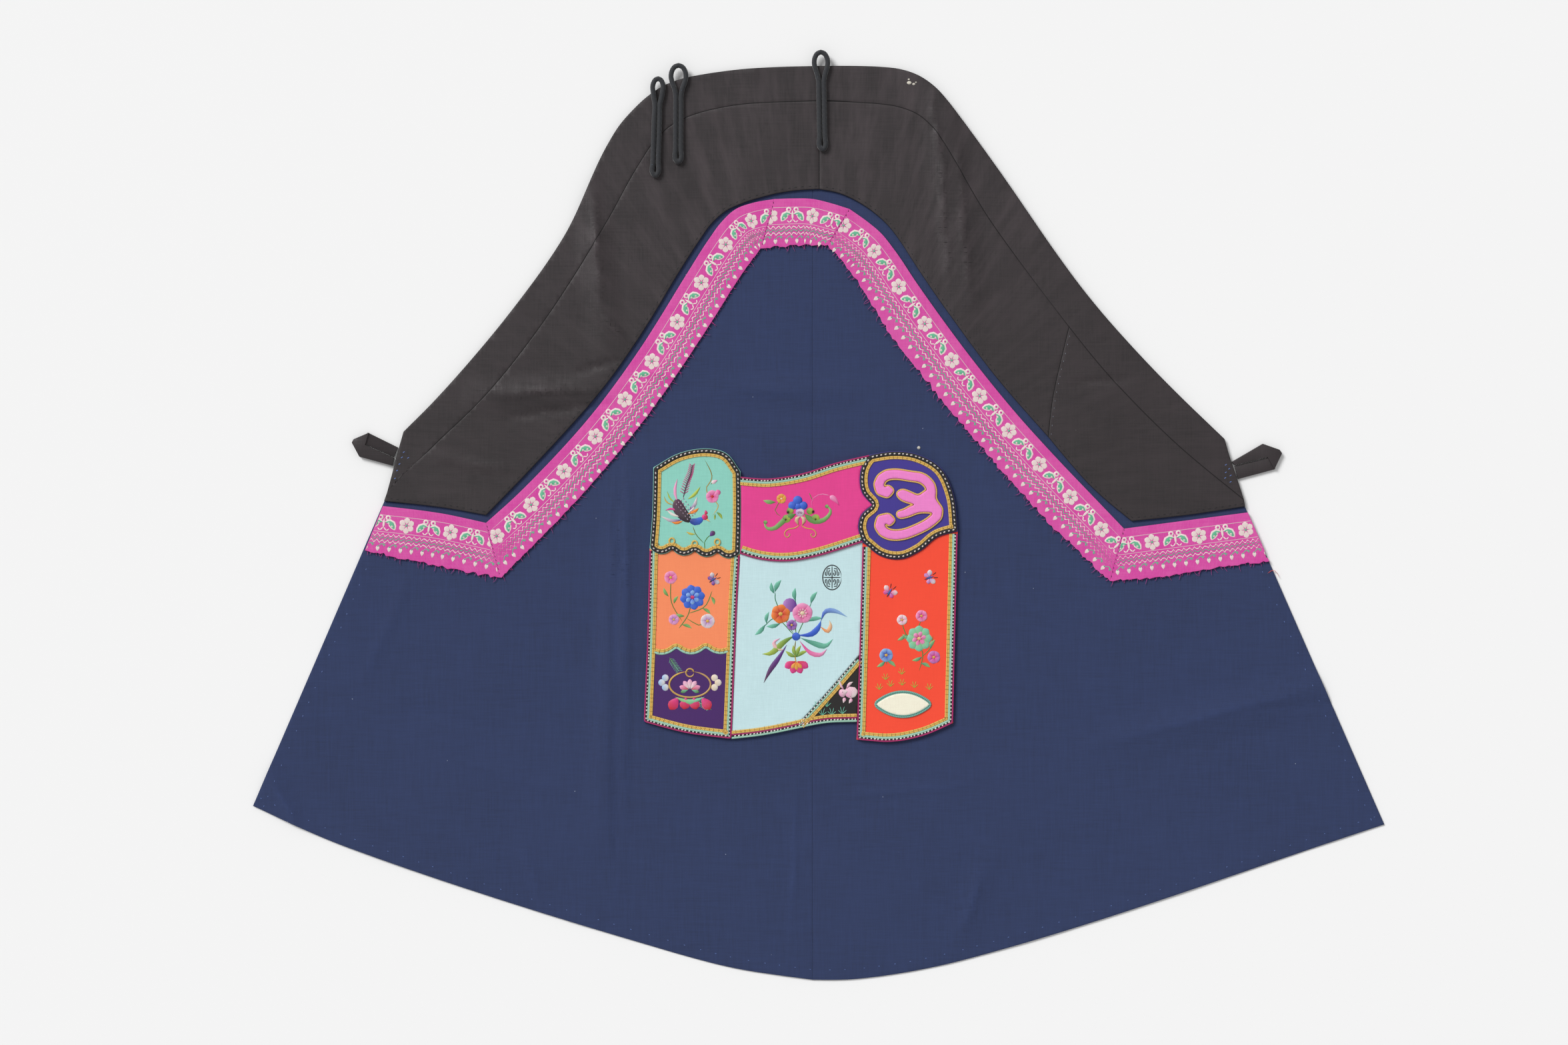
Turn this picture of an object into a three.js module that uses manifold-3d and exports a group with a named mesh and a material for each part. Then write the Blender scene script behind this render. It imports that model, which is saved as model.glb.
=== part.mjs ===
// Embroidered apron laid flat: black glazed yoke, navy fronts, woven ribbon border and an appliqued pocket.
// Millimetres, +Z up. The cloth lies on z = 0, +Y points to the neck, -X is the viewer's left.
import * as THREE from 'three';
import { mergeVertices } from 'three/addons/utils/BufferGeometryUtils.js';
import Module from 'manifold-3d';

const wasm = await Module();
wasm.setup();

// Overall sizes
const HEM_WIDTH = 570.8;
const NECK_Y = 234.5;
const HEM_Y = -234.5;
const FRONT_SEAM_X = -3.0;
const YOKE_SEAM_X = 0.3;

// Clearances and steps
const GAP = 0.3;
const HALF_GAP = GAP / 2;
const YOKE_LAP = 8;
const CELL = 8;
const CURVE_STEP = 10;
const PATCH_STEP = 12;
const FOOT_STEP = 6.8;
const FINE_STEP = 3.4;
const SAME_POINT = 0.05;
const MITRE_LIMIT = 0.35;
const FOLD_TAPER = 0.8;
const BELOW = -10;
const ABOVE = 20;

// Height of each layer's underside and face above the surface that the apron lies on
const LAYERS = {
  front: { bottom: 0, top: 1.0 },
  yoke: { bottom: 0, top: 2.3 },
  ribbon: { bottom: 1.3, top: 2.3 },
  patch: { bottom: 1.3, top: 2.5 },
  topPatch: { bottom: 1.3, top: 3.1 },
  patchTrim: { bottom: 2.8, top: 3.5 },
  topPatchTrim: { bottom: 3.4, top: 4.1 },
  lens: { bottom: 2.8, top: 3.8 },
  cloud: { bottom: 3.4, top: 4.4 },
};

// Soft ridges left by folding, each from one end to the other, highest in the middle
const FOLDS = [
  { name: 'left of pocket', fromX: -97, fromY: 34, toX: -110, toY: -176, height: 1.6, reach: 13 },
  { name: 'right side', fromX: 300, fromY: -76, toX: 130, toY: -119, height: 1.3, reach: 15 },
  { name: 'above pocket', fromX: -62, fromY: 66, toX: 40, toY: 60, height: 0.7, reach: 11 },
  { name: 'left hem corner', fromX: -285, fromY: -118, toX: -255, toY: -172, height: 0.9, reach: 12 },
  { name: 'right hem', fromX: 88, fromY: -165, toX: 68, toY: -222, height: 0.8, reach: 12 },
  { name: 'left yoke slope', fromX: -119, fromY: 182, toX: -104, toY: 70, height: 1.6, reach: 12 },
  { name: 'left yoke cross', fromX: -180, fromY: 60, toX: -98, toY: 64, height: 1.1, reach: 11 },
  { name: 'right yoke slope', fromX: 58, fromY: 220, toX: 78, toY: 92, height: 1.4, reach: 14 },
];

const COLOURS = {
  navy: 0x2a3458,
  black: 0x37322f,
  cord: 0x25272c,
  pink: 0xd74baa,
  teal: 0x78beaa,
  orange: 0xfa8255,
  purple: 0x4b1e69,
  magenta: 0xe63291,
  paleBlue: 0xa5cdd7,
  corner: 0x1c1a1c,
  indigo: 0x3c3296,
  lilacPink: 0xeb82c8,
  red: 0xfa412d,
  cream: 0xf0e1cd,
  gold: 0xd7aa50,
};
const ROUGHNESS = { cloth: 0.9, cord: 0.7, strap: 0.6, glazed: 0.55, gold: 0.5 };

// Lines shared by neighbouring pieces, all from the viewer's left to right
const BAND_OUTER_LEFT_END = curve([[-217.7, 11.1], [-214.7, 22.2], [-211.3, 35.3], [-209.3, 42.1]]);
const BAND_OUTER_TOP = curve([
  [-209.3, 42.1], [-190.1, 61.6], [-155.8, 102.0], [-127.5, 142.3], [-108.7, 182.7],
  [-98.6, 198.9], [-78.4, 216.5], [-49.8, 223.6], [-2.7, 226.5], [37.7, 225.5],
  [47.4, 223.1], [57.9, 216.7], [84.5, 182.7], [134.6, 112.1], [170.6, 71.7], [204.6, 38.4],
]);
const BAND_OUTER_RIGHT_END = curve([[204.6, 38.4], [205.9, 33.3], [211.0, 18.2], [214.4, 7.7]]);
const BAND_SEAM_LEFT = curve([
  [-217.7, 11.1], [-194.8, 34.3], [-166.9, 61.6], [-138.0, 98.6], [-109.7, 143.0], [-90.2, 177.7],
  [-79.6, 192.2], [-68.0, 200.0], [-43.1, 206.6], [YOKE_SEAM_X, 209.0],
]);
const BAND_SEAM_RIGHT_UPPER = curve([
  [YOKE_SEAM_X, 209.0], [34.3, 206.9], [47.1, 203.6], [57.2, 195.8], [86.8, 148.1], [126.2, 94.9],
]);
const BAND_SEAM_RIGHT_LOWER = curve([[126.2, 94.9], [146.0, 70.7], [180.0, 36.3], [214.4, 7.7]]);
const PIECING_SEAM = curve([[126.2, 94.9], [118.1, 59.6], [115.7, 39.4]]);
const YOKE_HEM_LEFT_SIDE = curve([[-219.1, 7.1], [-190.8, 4.0], [-167.7, 0]]);
const YOKE_HEM_LEFT_SLOPE = curve([
  [-167.7, 0], [-142.0, 26.7], [-109.8, 62.7], [-90.5, 89.7], [-64.7, 131.6], [-51.8, 149.4],
  [-42.5, 155.6], [-17.2, 163.0], [YOKE_SEAM_X, 164.4],
]);
const YOKE_HEM_RIGHT_UPPER = curve([
  [YOKE_SEAM_X, 164.4], [13.5, 161.2], [33.0, 148.1], [53.7, 118.8], [87.2, 72.4], [115.7, 39.4],
]);
const YOKE_HEM_RIGHT_LOWER = curve([[115.7, 39.4], [137.3, 14.5], [157.8, -3.0]]);
const YOKE_HEM_RIGHT_SIDE = curve([[157.8, -3.0], [185.4, 0], [215.0, 4.4]]);
const LEFT_SIDE = curve([[-219.1, 7.1], [-243.3, -49.5], [-266.0, -101.0], [-HEM_WIDTH / 2, -146.7]]);
const RIGHT_SIDE = curve([[215.0, 4.4], [229.8, -29.3], [255.7, -89.8], [HEM_WIDTH / 2, -156.1]]);
const HEM_LEFT = curve([
  [-HEM_WIDTH / 2, -146.7], [-245.0, -164.9], [-204.6, -179.0], [-144.0, -198.5], [-83.5, -217.7],
  [-43.1, -228.5], [FRONT_SEAM_X, HEM_Y],
]);
const HEM_RIGHT = curve([
  [FRONT_SEAM_X, HEM_Y], [17.5, -234.2], [57.9, -228.1], [118.4, -211.7], [179.0, -193.8],
  [239.6, -173.0], [HEM_WIDTH / 2, -156.1],
]);

// Ribbon: the woven edge beside the yoke, the frayed edge below it, and the mitres between its lengths
const RIBBON = {
  leftSideUpper: curve([[-219.7, 4.6], [-190.8, 1.0], [-167.7, -3.9]]),
  leftSideLower: curve([[-229.0, -18.2], [-193.5, -25.6], [-160.5, -31.8]]),
  leftSlopeUpper: curve([
    [-167.7, -3.9], [-148.4, 13.8], [-116.2, 48.6], [-90.5, 83.3], [-64.7, 124.5], [-48.5, 148.4],
    [-39.5, 155.6], [-22.4, 159.4],
  ]),
  leftSlopeLower: curve([
    [-160.5, -31.8], [-142.0, -13.3], [-116.2, 13.8], [-84.7, 52.4], [-55.7, 94.9], [-37.7, 123.2],
    [-29.3, 134.5],
  ]),
  topUpper: curve([[-22.4, 159.4], [-2.7, 159.4], [15.5, 154.4]]),
  topLower: curve([[-29.3, 134.5], [-2.7, 136.4], [4.7, 136.2]]),
  rightSlopeUpper: curve([
    [15.5, 154.4], [31.3, 142.3], [49.6, 116.8], [72.8, 84.6], [98.6, 52.4], [124.3, 24.1], [153.9, -6.8],
  ]),
  rightSlopeLower: curve([
    [4.7, 136.2], [17.5, 120.7], [38.0, 88.5], [70.2, 48.6], [98.6, 15.1], [124.3, -12.0], [146.8, -33.2],
  ]),
  rightSideUpper: curve([[153.9, -6.8], [185.4, -2.7], [216.3, 1.4]]),
  rightSideLower: curve([[146.8, -33.2], [168.2, -31.6], [193.8, -27.6], [227.2, -23.2]]),
};

// Folded tabs, as corners of the two legs and of the flap folded over the tip
const TABS = {
  left: {
    rootUpper: [-212.3, 34.2], shoulder: [-227.5, 41.7], tipUpper: [-234.5, 38.3], tip: [-235.4, 36.6],
    elbow: [-231.6, 29.5], rootLower: [-214.9, 24.9], slitRoot: [-214.2, 29.1], slitEnd: [-229.3, 35.9],
  },
  right: {
    rootUpper: [208.3, 26.9], shoulder: [223.9, 36.0], tipUpper: [232.4, 33.0], tip: [233.6, 31.2],
    elbow: [230.3, 23.2], rootLower: [211.5, 18.2], slitRoot: [209.7, 25.0], slitEnd: [226.8, 29.2],
  },
};
const TAB_THICKNESS = { leg: 1.4, folded: 2.2, slit: 0.4, flapLap: 0.6 };

// Cord loops: top and foot of each, widest point of the eye and where the legs meet
const CORD = {
  diameter: 2.4, legGap: 0.3, eyeFullness: 2.0, eyeShoulder: 0.72, sides: 8, legSteps: 3, eyeSteps: 26,
};
const LOOPS = [
  { name: 'loop_left', topX: -80.8, topY: 221.1, footX: -82.4, footY: 169.9, width: 7.8, eye: 12.5 },
  { name: 'loop_second', topX: -70.6, topY: 227.8, footX: -70.8, footY: 176.7, width: 10.0, eye: 15.2 },
  { name: 'loop_middle', topX: 1.0, topY: NECK_Y, footX: 1.9, footY: 183.1, width: 9.3, eye: 14.6 },
];

// Pocket patches
const POCKET = {
  scallopDepth: 2.8,
  scallopCount: 4,
  orangeScallopDepth: 3.4,
  orangeScallopCount: 3,
  orangeFootLeftY: -62,
  orangeFootRightY: -65,
  trimInset: 0.5,
  trimWidth: 4.0,
  lensX: 42.4,
  lensY: -95.3,
  lensLength: 27.0,
  lensHeight: 11.0,
  lensPoint: 0.35,
  lensRim: 2.2,
  lensSteps: 9,
  cloudWidth: 4.2,
};
const TEAL_SIDES = {
  left: curve([[-85.2, -16.6], [-83.9, 0], [-83.3, 24.1]], PATCH_STEP),
  arch: curve([[-83.3, 24.1], [-70.5, 31.2], [-56.7, 33.6], [-46.5, 31.2], [-39.4, 22.1]], FINE_STEP),
  right: curve([[-39.4, 22.1], [-39.2, 0], [-39.7, -19.4]], PATCH_STEP),
  foot: scallops([-39.7, -19.4], [-85.2, -16.6], POCKET.scallopCount, POCKET.scallopDepth),
};
const BANNER_TOP = curve([
  [-39.4, 19.4], [-25.5, 18.5], [-7.6, 21.3], [8.0, 26.3], [25.6, 30.4],
], FOOT_STEP);
const BANNER_FOOT = curve([
  [-39.7, -19.4], [-30.0, -22.2], [-16.6, -23.3], [-2.1, -21.1], [22.1, -13.6],
], FOOT_STEP);
const STRIP_LEFT = curve([[-85.2, -16.6], [-85.8, -44.5], [-86.6, -66.8], [-88.2, -104.2]], PATCH_STEP);
const STRIP_RIGHT = curve([[-39.7, -19.4], [-41.1, -44.5], [-42.2, -72.4], [-43.9, -112.8]], PATCH_STEP);
const STRIP_FOOT = curve([[-88.2, -104.2], [-66.8, -109.8], [-43.9, -112.8]], FOOT_STEP);
const ORANGE_FOOT_FROM = STRIP_LEFT.find((point) => point.y < POCKET.orangeFootLeftY);
const ORANGE_FOOT_TO = STRIP_RIGHT.find((point) => point.y < POCKET.orangeFootRightY);
const ORANGE_FOOT = scallops(
  [ORANGE_FOOT_TO.x, ORANGE_FOOT_TO.y], [ORANGE_FOOT_FROM.x, ORANGE_FOOT_FROM.y],
  POCKET.orangeScallopCount, POCKET.orangeScallopDepth,
);
const RED_LEFT = curve([[22.1, -13.6], [20.8, -66.8], [19.1, -113.2]], PATCH_STEP);
const RED_RIGHT = curve([[70.1, -8.2], [69.1, -55.7], [67.7, -104.8]], PATCH_STEP);
const RED_FOOT = curve([[19.1, -113.2], [37.0, -114.3], [53.7, -110.9], [67.7, -104.8]], FOOT_STEP);
const PANEL_FOOT = curve([
  [-43.9, -112.8], [-27.7, -110.9], [-13.2, -108.1], [3.5, -104.8], [19.3, -104.2],
], FOOT_STEP);
const CORNER_SLANT = curve([[-13.2, -108.1], [1.3, -92.5], [20.6, -70.2]], PATCH_STEP);
// The indigo patch's outline: over the crown, down the right side, along the foot and up the two left lobes
const INDIGO_CROWN = curve([
  [25.6, 30.4], [37.0, 32.2], [49.4, 30.8], [61.6, 23.8], [68.0, 10.3], [70.1, -8.2],
], FINE_STEP);
const INDIGO_FOOT = curve([
  [70.1, -8.2], [59.8, -11.2], [51.5, -17.9], [41.5, -22.2], [31.4, -20.7], [22.1, -13.6],
], FINE_STEP);
const INDIGO_LOWER_LOBE = curve([[22.1, -13.6], [19.9, -6.6], [21.5, 0.4], [27.0, 5.1]], FINE_STEP);
const INDIGO_UPPER_LOBE = curve([
  [27.0, 5.1], [22.0, 10.8], [20.6, 17.8], [22.0, 25.4], [25.6, 30.4],
], FINE_STEP);
// Traditional cloud head: the middle line of a band that curls in at both ends
const CLOUD_LINE = curve([
  [36.4, 13.8], [34.0, 11.2], [31.0, 12.6], [30.4, 16.6], [33.6, 20.0], [39.6, 20.6], [46.0, 19.6],
  [52.4, 18.4], [56.8, 13.6], [56.4, 8.0], [60.4, 1.2], [56.0, -3.6], [49.4, -7.2], [41.8, -9.8],
  [35.0, -9.6], [30.9, -6.6], [31.2, -2.6], [34.6, -1.6], [37.0, -4.0],
], FINE_STEP);

// Points along a smooth line through a few measured ones
function curve(points, step = CURVE_STEP) {
  const vectors = points.map(([x, y]) => new THREE.Vector3(x, y, 0));
  const line = new THREE.CatmullRomCurve3(vectors, false, 'centripetal');
  const steps = Math.max(1, Math.round(line.getLength() / step));
  return line.getSpacedPoints(steps).map(({ x, y }) => new THREE.Vector2(x, y));
}

// A row of arcs that bulge to the left of the way from one point to the other
function scallops(from, to, count, depth) {
  const start = new THREE.Vector2(...from);
  const end = new THREE.Vector2(...to);
  const along = end.clone().sub(start);
  const out = new THREE.Vector2(-along.y, along.x).normalize();
  const arcSteps = 4;
  const points = [];
  for (let step = 0; step <= count * arcSteps; step += 1) {
    const inArc = (step % arcSteps) / arcSteps;
    const bulge = 4 * depth * inArc * (1 - inArc);
    const onChord = start.clone().addScaledVector(along, step / (count * arcSteps));
    points.push(onChord.addScaledVector(out, bulge));
  }
  return points;
}

function backwards(points) {
  return [...points].reverse();
}

// One open line from stretches that follow each other
function joined(...stretches) {
  const points = [];
  for (const point of stretches.flat()) {
    const last = points[points.length - 1];
    if (!last || last.distanceTo(point) > SAME_POINT) points.push(point);
  }
  return points;
}

// One closed outline, anticlockwise, from stretches that follow each other
function outline(...stretches) {
  const points = joined(...stretches);
  if (points[0].distanceTo(points[points.length - 1]) < SAME_POINT) points.pop();
  return THREE.ShapeUtils.isClockWise(points) ? points.reverse() : points;
}

// Moves a line to the left of its direction, or a closed anticlockwise outline inwards
function moved(points, distance, closed) {
  const count = points.length;
  return points.map((point, index) => {
    const before = closed ? points[(index + count - 1) % count] : points[Math.max(index - 1, 0)];
    const after = closed ? points[(index + 1) % count] : points[Math.min(index + 1, count - 1)];
    const into = point.clone().sub(before).normalize();
    const outOf = after.clone().sub(point).normalize();
    const normals = [into, outOf].filter((d) => d.length() > 0).map((d) => new THREE.Vector2(-d.y, d.x));
    const mitre = normals.reduce((sum, normal) => sum.add(normal), new THREE.Vector2()).normalize();
    const reach = Math.max(mitre.dot(normals[0]), MITRE_LIMIT);
    return point.clone().addScaledVector(mitre, distance / reach);
  });
}

function inset(points, distance) {
  return moved(points, distance, true);
}

// The strip between two distances from an open line, on its left
function strip(line, near, far) {
  return outline(moved(line, near, false), backwards(moved(line, far, false)));
}

// How far the cloth rises off the surface at a place
function lift(x, y) {
  let height = 0;
  for (const fold of FOLDS) {
    const lengthX = fold.toX - fold.fromX;
    const lengthY = fold.toY - fold.fromY;
    const length = Math.hypot(lengthX, lengthY);
    const along = ((x - fold.fromX) * lengthX + (y - fold.fromY) * lengthY) / length ** 2;
    const across = Math.abs((x - fold.fromX) * lengthY - (y - fold.fromY) * lengthX) / length;
    if (along > 0 && along < 1 && across < fold.reach) {
      const profile = Math.cos((Math.PI * across) / (2 * fold.reach)) ** 2;
      height += fold.height * Math.sin(Math.PI * along) ** FOLD_TAPER * profile;
    }
  }
  return height;
}

function solidFrom(geometry) {
  geometry.deleteAttribute('normal');
  geometry.deleteAttribute('uv');
  const merged = mergeVertices(geometry);
  return new wasm.Manifold(new wasm.Mesh({
    numProp: 3,
    vertProperties: new Float32Array(merged.attributes.position.array),
    triVerts: new Uint32Array(merged.index.array),
  }));
}

// A straight-sided block over an outline
function block(points, bottom, top, holes = []) {
  const shape = new THREE.Shape(points);
  shape.holes = holes.map((hole) => new THREE.Path(hole));
  const geometry = new THREE.ExtrudeGeometry(shape, { depth: top - bottom, bevelEnabled: false });
  geometry.translate(0, 0, bottom);
  return solidFrom(geometry);
}

// A grid-aligned box round each fold
function foldZones() {
  return FOLDS.map((fold) => {
    const ends = [new THREE.Vector2(fold.fromX, fold.fromY), new THREE.Vector2(fold.toX, fold.toY)];
    const zone = new THREE.Box2().setFromPoints(ends).expandByScalar(fold.reach);
    zone.min.divideScalar(CELL).floor().multiplyScalar(CELL);
    zone.max.divideScalar(CELL).ceil().multiplyScalar(CELL);
    return zone;
  });
}

// A wall of cloth over one zone that follows its folds, on a grid that every layer shares
function liftedSheet(zone, bottom, top) {
  const size = zone.getSize(new THREE.Vector2());
  const middle = zone.getCenter(new THREE.Vector2());
  const sheet = new THREE.BoxGeometry(size.x, size.y, top - bottom, size.x / CELL, size.y / CELL, 1);
  sheet.translate(middle.x, middle.y, (bottom + top) / 2);
  matchDiagonals(sheet);
  const place = sheet.attributes.position;
  for (let i = 0; i < place.count; i += 1) {
    place.setZ(i, place.getZ(i) + lift(place.getX(i), place.getY(i)));
  }
  return solidFrom(sheet);
}

// The underside's cells are split along the same diagonal as the face's
function matchDiagonals(box) {
  const underside = box.groups[5];
  const index = box.index.array;
  for (let i = underside.start; i < underside.start + underside.count; i += 6) {
    const [a, b, d, , c] = index.subarray(i, i + 6);
    index.set([a, b, c, a, c, d], i);
  }
}

// Cloth over an outline, half a seam gap inside it, less what other solids take
function clothPiece(points, layer, { margin = HALF_GAP, holes = [], less = [] } = {}) {
  const edge = inset(points, margin);
  const bounds = new THREE.Box2().setFromPoints(edge);
  let column = block(edge, BELOW, ABOVE, holes);
  let piece = block(edge, layer.bottom, layer.top, holes);
  for (const zone of foldZones().filter((each) => each.intersectsBox(bounds))) {
    const { min, max } = zone;
    const corners = [[min.x, min.y], [max.x, min.y], [max.x, max.y], [min.x, max.y]];
    const zoneBlock = block(corners.map(([x, y]) => new THREE.Vector2(x, y)), BELOW, ABOVE);
    const lifted = liftedSheet(zone, layer.bottom, layer.top).intersect(column);
    piece = piece.subtract(zoneBlock.intersect(column)).add(lifted);
    column = column.subtract(zoneBlock);
  }
  return less.reduce((rest, other) => rest.subtract(other), piece);
}

function meshOf(name, solid, colour, roughness = ROUGHNESS.cloth) {
  const data = solid.getMesh();
  const geometry = new THREE.BufferGeometry();
  geometry.setAttribute('position', new THREE.BufferAttribute(new Float32Array(data.vertProperties), 3));
  geometry.setIndex(new THREE.BufferAttribute(new Uint32Array(data.triVerts), 1));
  geometry.computeVertexNormals();
  return namedMesh(name, geometry, colour, roughness);
}

function namedMesh(name, geometry, colour, roughness) {
  const material = new THREE.MeshStandardMaterial({ color: colour, roughness, metalness: 0 });
  const mesh = new THREE.Mesh(geometry, material);
  mesh.name = name;
  return mesh;
}

// Fronts: each reaches up under the yoke by the lap
function frontOutlines() {
  const leftHem = joined(YOKE_HEM_LEFT_SIDE.slice(1), YOKE_HEM_LEFT_SLOPE);
  const rightHem = joined(YOKE_HEM_RIGHT_UPPER, YOKE_HEM_RIGHT_LOWER, YOKE_HEM_RIGHT_SIDE.slice(0, -1));
  const leftTop = moved(leftHem, YOKE_LAP, false);
  const rightTop = moved(rightHem, YOKE_LAP, false);
  const seamTop = new THREE.Vector2(FRONT_SEAM_X, leftTop[leftTop.length - 1].y);
  const leftInner = leftTop.filter((point) => point.x < FRONT_SEAM_X - 1);
  const bridge = leftTop.filter((point) => point.x >= FRONT_SEAM_X - 1);
  return {
    left: outline(LEFT_SIDE, HEM_LEFT, [seamTop], backwards(leftInner), [leftHem[0]]),
    right: outline([seamTop], HEM_RIGHT, backwards(RIGHT_SIDE), [rightHem[rightHem.length - 1]],
      backwards(rightTop.slice(1)), backwards(bridge)),
  };
}

function fronts() {
  const { left, right } = frontOutlines();
  return [
    meshOf('front_left', clothPiece(left, LAYERS.front), COLOURS.navy),
    meshOf('front_right', clothPiece(right, LAYERS.front), COLOURS.navy),
  ];
}

// Yoke: each piece is stepped on its underside where it laps over the fronts
function yoke() {
  const { left, right } = frontOutlines();
  const underLap = { bottom: LAYERS.yoke.bottom - GAP, top: LAYERS.front.top + GAP };
  const laps = [left, right].map((points) => clothPiece(points, underLap, { margin: -HALF_GAP }));
  const seamTop = new THREE.Vector2(YOKE_SEAM_X, BAND_SEAM_LEFT[BAND_SEAM_LEFT.length - 1].y);
  const pieces = {
    yoke_left: outline(YOKE_HEM_LEFT_SIDE, YOKE_HEM_LEFT_SLOPE, [seamTop], backwards(BAND_SEAM_LEFT)),
    yoke_right_upper: outline(
      YOKE_HEM_RIGHT_UPPER, backwards(PIECING_SEAM), backwards(BAND_SEAM_RIGHT_UPPER),
    ),
    yoke_right_lower: outline(
      YOKE_HEM_RIGHT_LOWER, YOKE_HEM_RIGHT_SIDE, backwards(BAND_SEAM_RIGHT_LOWER), PIECING_SEAM,
    ),
    yoke_band: outline(
      BAND_SEAM_LEFT, BAND_SEAM_RIGHT_UPPER, BAND_SEAM_RIGHT_LOWER,
      backwards(BAND_OUTER_RIGHT_END), backwards(BAND_OUTER_TOP), backwards(BAND_OUTER_LEFT_END),
    ),
  };
  return Object.entries(pieces).map(([name, points]) => (
    meshOf(name, clothPiece(points, LAYERS.yoke, { less: laps }), COLOURS.black, ROUGHNESS.glazed)
  ));
}

function ribbon() {
  const lengths = ['leftSide', 'leftSlope', 'top', 'rightSlope', 'rightSide'];
  return lengths.map((length) => {
    const points = outline(RIBBON[`${length}Lower`], backwards(RIBBON[`${length}Upper`]));
    const name = `ribbon_${length.replace(/[A-Z]/, (letter) => `_${letter.toLowerCase()}`)}`;
    return meshOf(name, clothPiece(points, LAYERS.ribbon), COLOURS.pink);
  });
}

// The middle line of a cord loop: up one leg, round the eye and down the other leg
class LoopLine extends THREE.Curve {
  constructor(loop, height) {
    super();
    const steps = 2 * CORD.legSteps + CORD.eyeSteps;
    this.legShare = CORD.legSteps / steps;
    this.height = height;
    this.top = new THREE.Vector2(loop.topX, loop.topY);
    this.down = new THREE.Vector2(loop.footX, loop.footY).sub(this.top);
    this.length = this.down.length() - CORD.diameter / 2;
    this.down.normalize();
    this.side = new THREE.Vector2(-this.down.y, this.down.x);
    const leg = (CORD.diameter + CORD.legGap) / 2;
    const half = (loop.width - CORD.diameter) / 2;
    this.leg = leg;
    this.eyeFoot = loop.eye;
    this.halfEye = new THREE.CubicBezierCurve(
      new THREE.Vector2(leg, loop.eye),
      new THREE.Vector2(leg, loop.eye * CORD.eyeShoulder),
      new THREE.Vector2(half * CORD.eyeFullness, CORD.diameter / 2),
      new THREE.Vector2(0, CORD.diameter / 2),
    );
  }

  getUtoTmapping(u) {
    return u;
  }

  getPoint(t, target = new THREE.Vector3()) {
    const onRight = t > 0.5;
    const half = onRight ? 1 - t : t;
    let offset = this.leg;
    let depth = THREE.MathUtils.mapLinear(half, 0, this.legShare, this.length, this.eyeFoot);
    if (half > this.legShare) {
      const onEye = this.halfEye.getPoint((half - this.legShare) / (0.5 - this.legShare));
      offset = onEye.x;
      depth = onEye.y;
    }
    const sideways = onRight ? offset : -offset;
    return target.set(
      this.top.x + this.down.x * depth + this.side.x * sideways,
      this.top.y + this.down.y * depth + this.side.y * sideways,
      this.height,
    );
  }
}

function loops() {
  const height = LAYERS.yoke.top + GAP + CORD.diameter / 2;
  return LOOPS.map((loop) => {
    const section = new THREE.Shape();
    section.absarc(0, 0, CORD.diameter / 2, 0, Math.PI * 2);
    const cord = new THREE.ExtrudeGeometry(section, {
      steps: 2 * CORD.legSteps + CORD.eyeSteps,
      curveSegments: CORD.sides / 2,
      extrudePath: new LoopLine(loop, height),
    });
    cord.deleteAttribute('normal');
    cord.deleteAttribute('uv');
    return namedMesh(loop.name, mergeVertices(cord), COLOURS.cord, ROUGHNESS.cord);
  });
}

// Tabs: a strap out and back, its tip folded over one leg, with a slit between the legs
function tabs() {
  return Object.entries(TABS).map(([side, tab]) => {
    const corner = (name, ...shifts) => (
      shifts.reduce((point, shift) => point.add(shift), new THREE.Vector2(...tab[name]))
    );
    const toRoot = corner('rootLower').sub(corner('elbow')).setLength(TAB_THICKNESS.flapLap);
    const up = new THREE.Vector2(0, TAB_THICKNESS.slit / 2);
    const down = up.clone().negate();
    const lowerSlit = [corner('slitEnd', down), corner('slitRoot', down)];
    const upperSlit = [corner('slitEnd', up), corner('slitRoot', up)];
    const lowerLeg = [...lowerSlit, corner('rootLower'), corner('elbow')];
    const upperLeg = [...upperSlit, corner('rootUpper'), corner('shoulder')];
    const tip = [corner('tipUpper'), corner('tip')];
    const lowerLap = corner('slitEnd', toRoot, down, down);
    const upperLap = corner('slitEnd', toRoot, up, up);
    const flapOnUpper = [corner('shoulder', toRoot), ...tip, corner('elbow'), lowerLap];
    const flapOnLower = [upperLap, corner('shoulder'), ...tip, corner('elbow', toRoot)];
    const onUpper = side === 'left';
    const thin = block(outline(onUpper ? upperLeg : lowerLeg), 0, TAB_THICKNESS.leg);
    const thick = block(outline(onUpper ? lowerLeg : upperLeg), 0, TAB_THICKNESS.folded);
    const flap = block(outline(onUpper ? flapOnUpper : flapOnLower), 0, TAB_THICKNESS.folded);
    return meshOf(`tab_${side}`, thin.add(thick).add(flap), COLOURS.black, ROUGHNESS.strap);
  });
}

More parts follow.
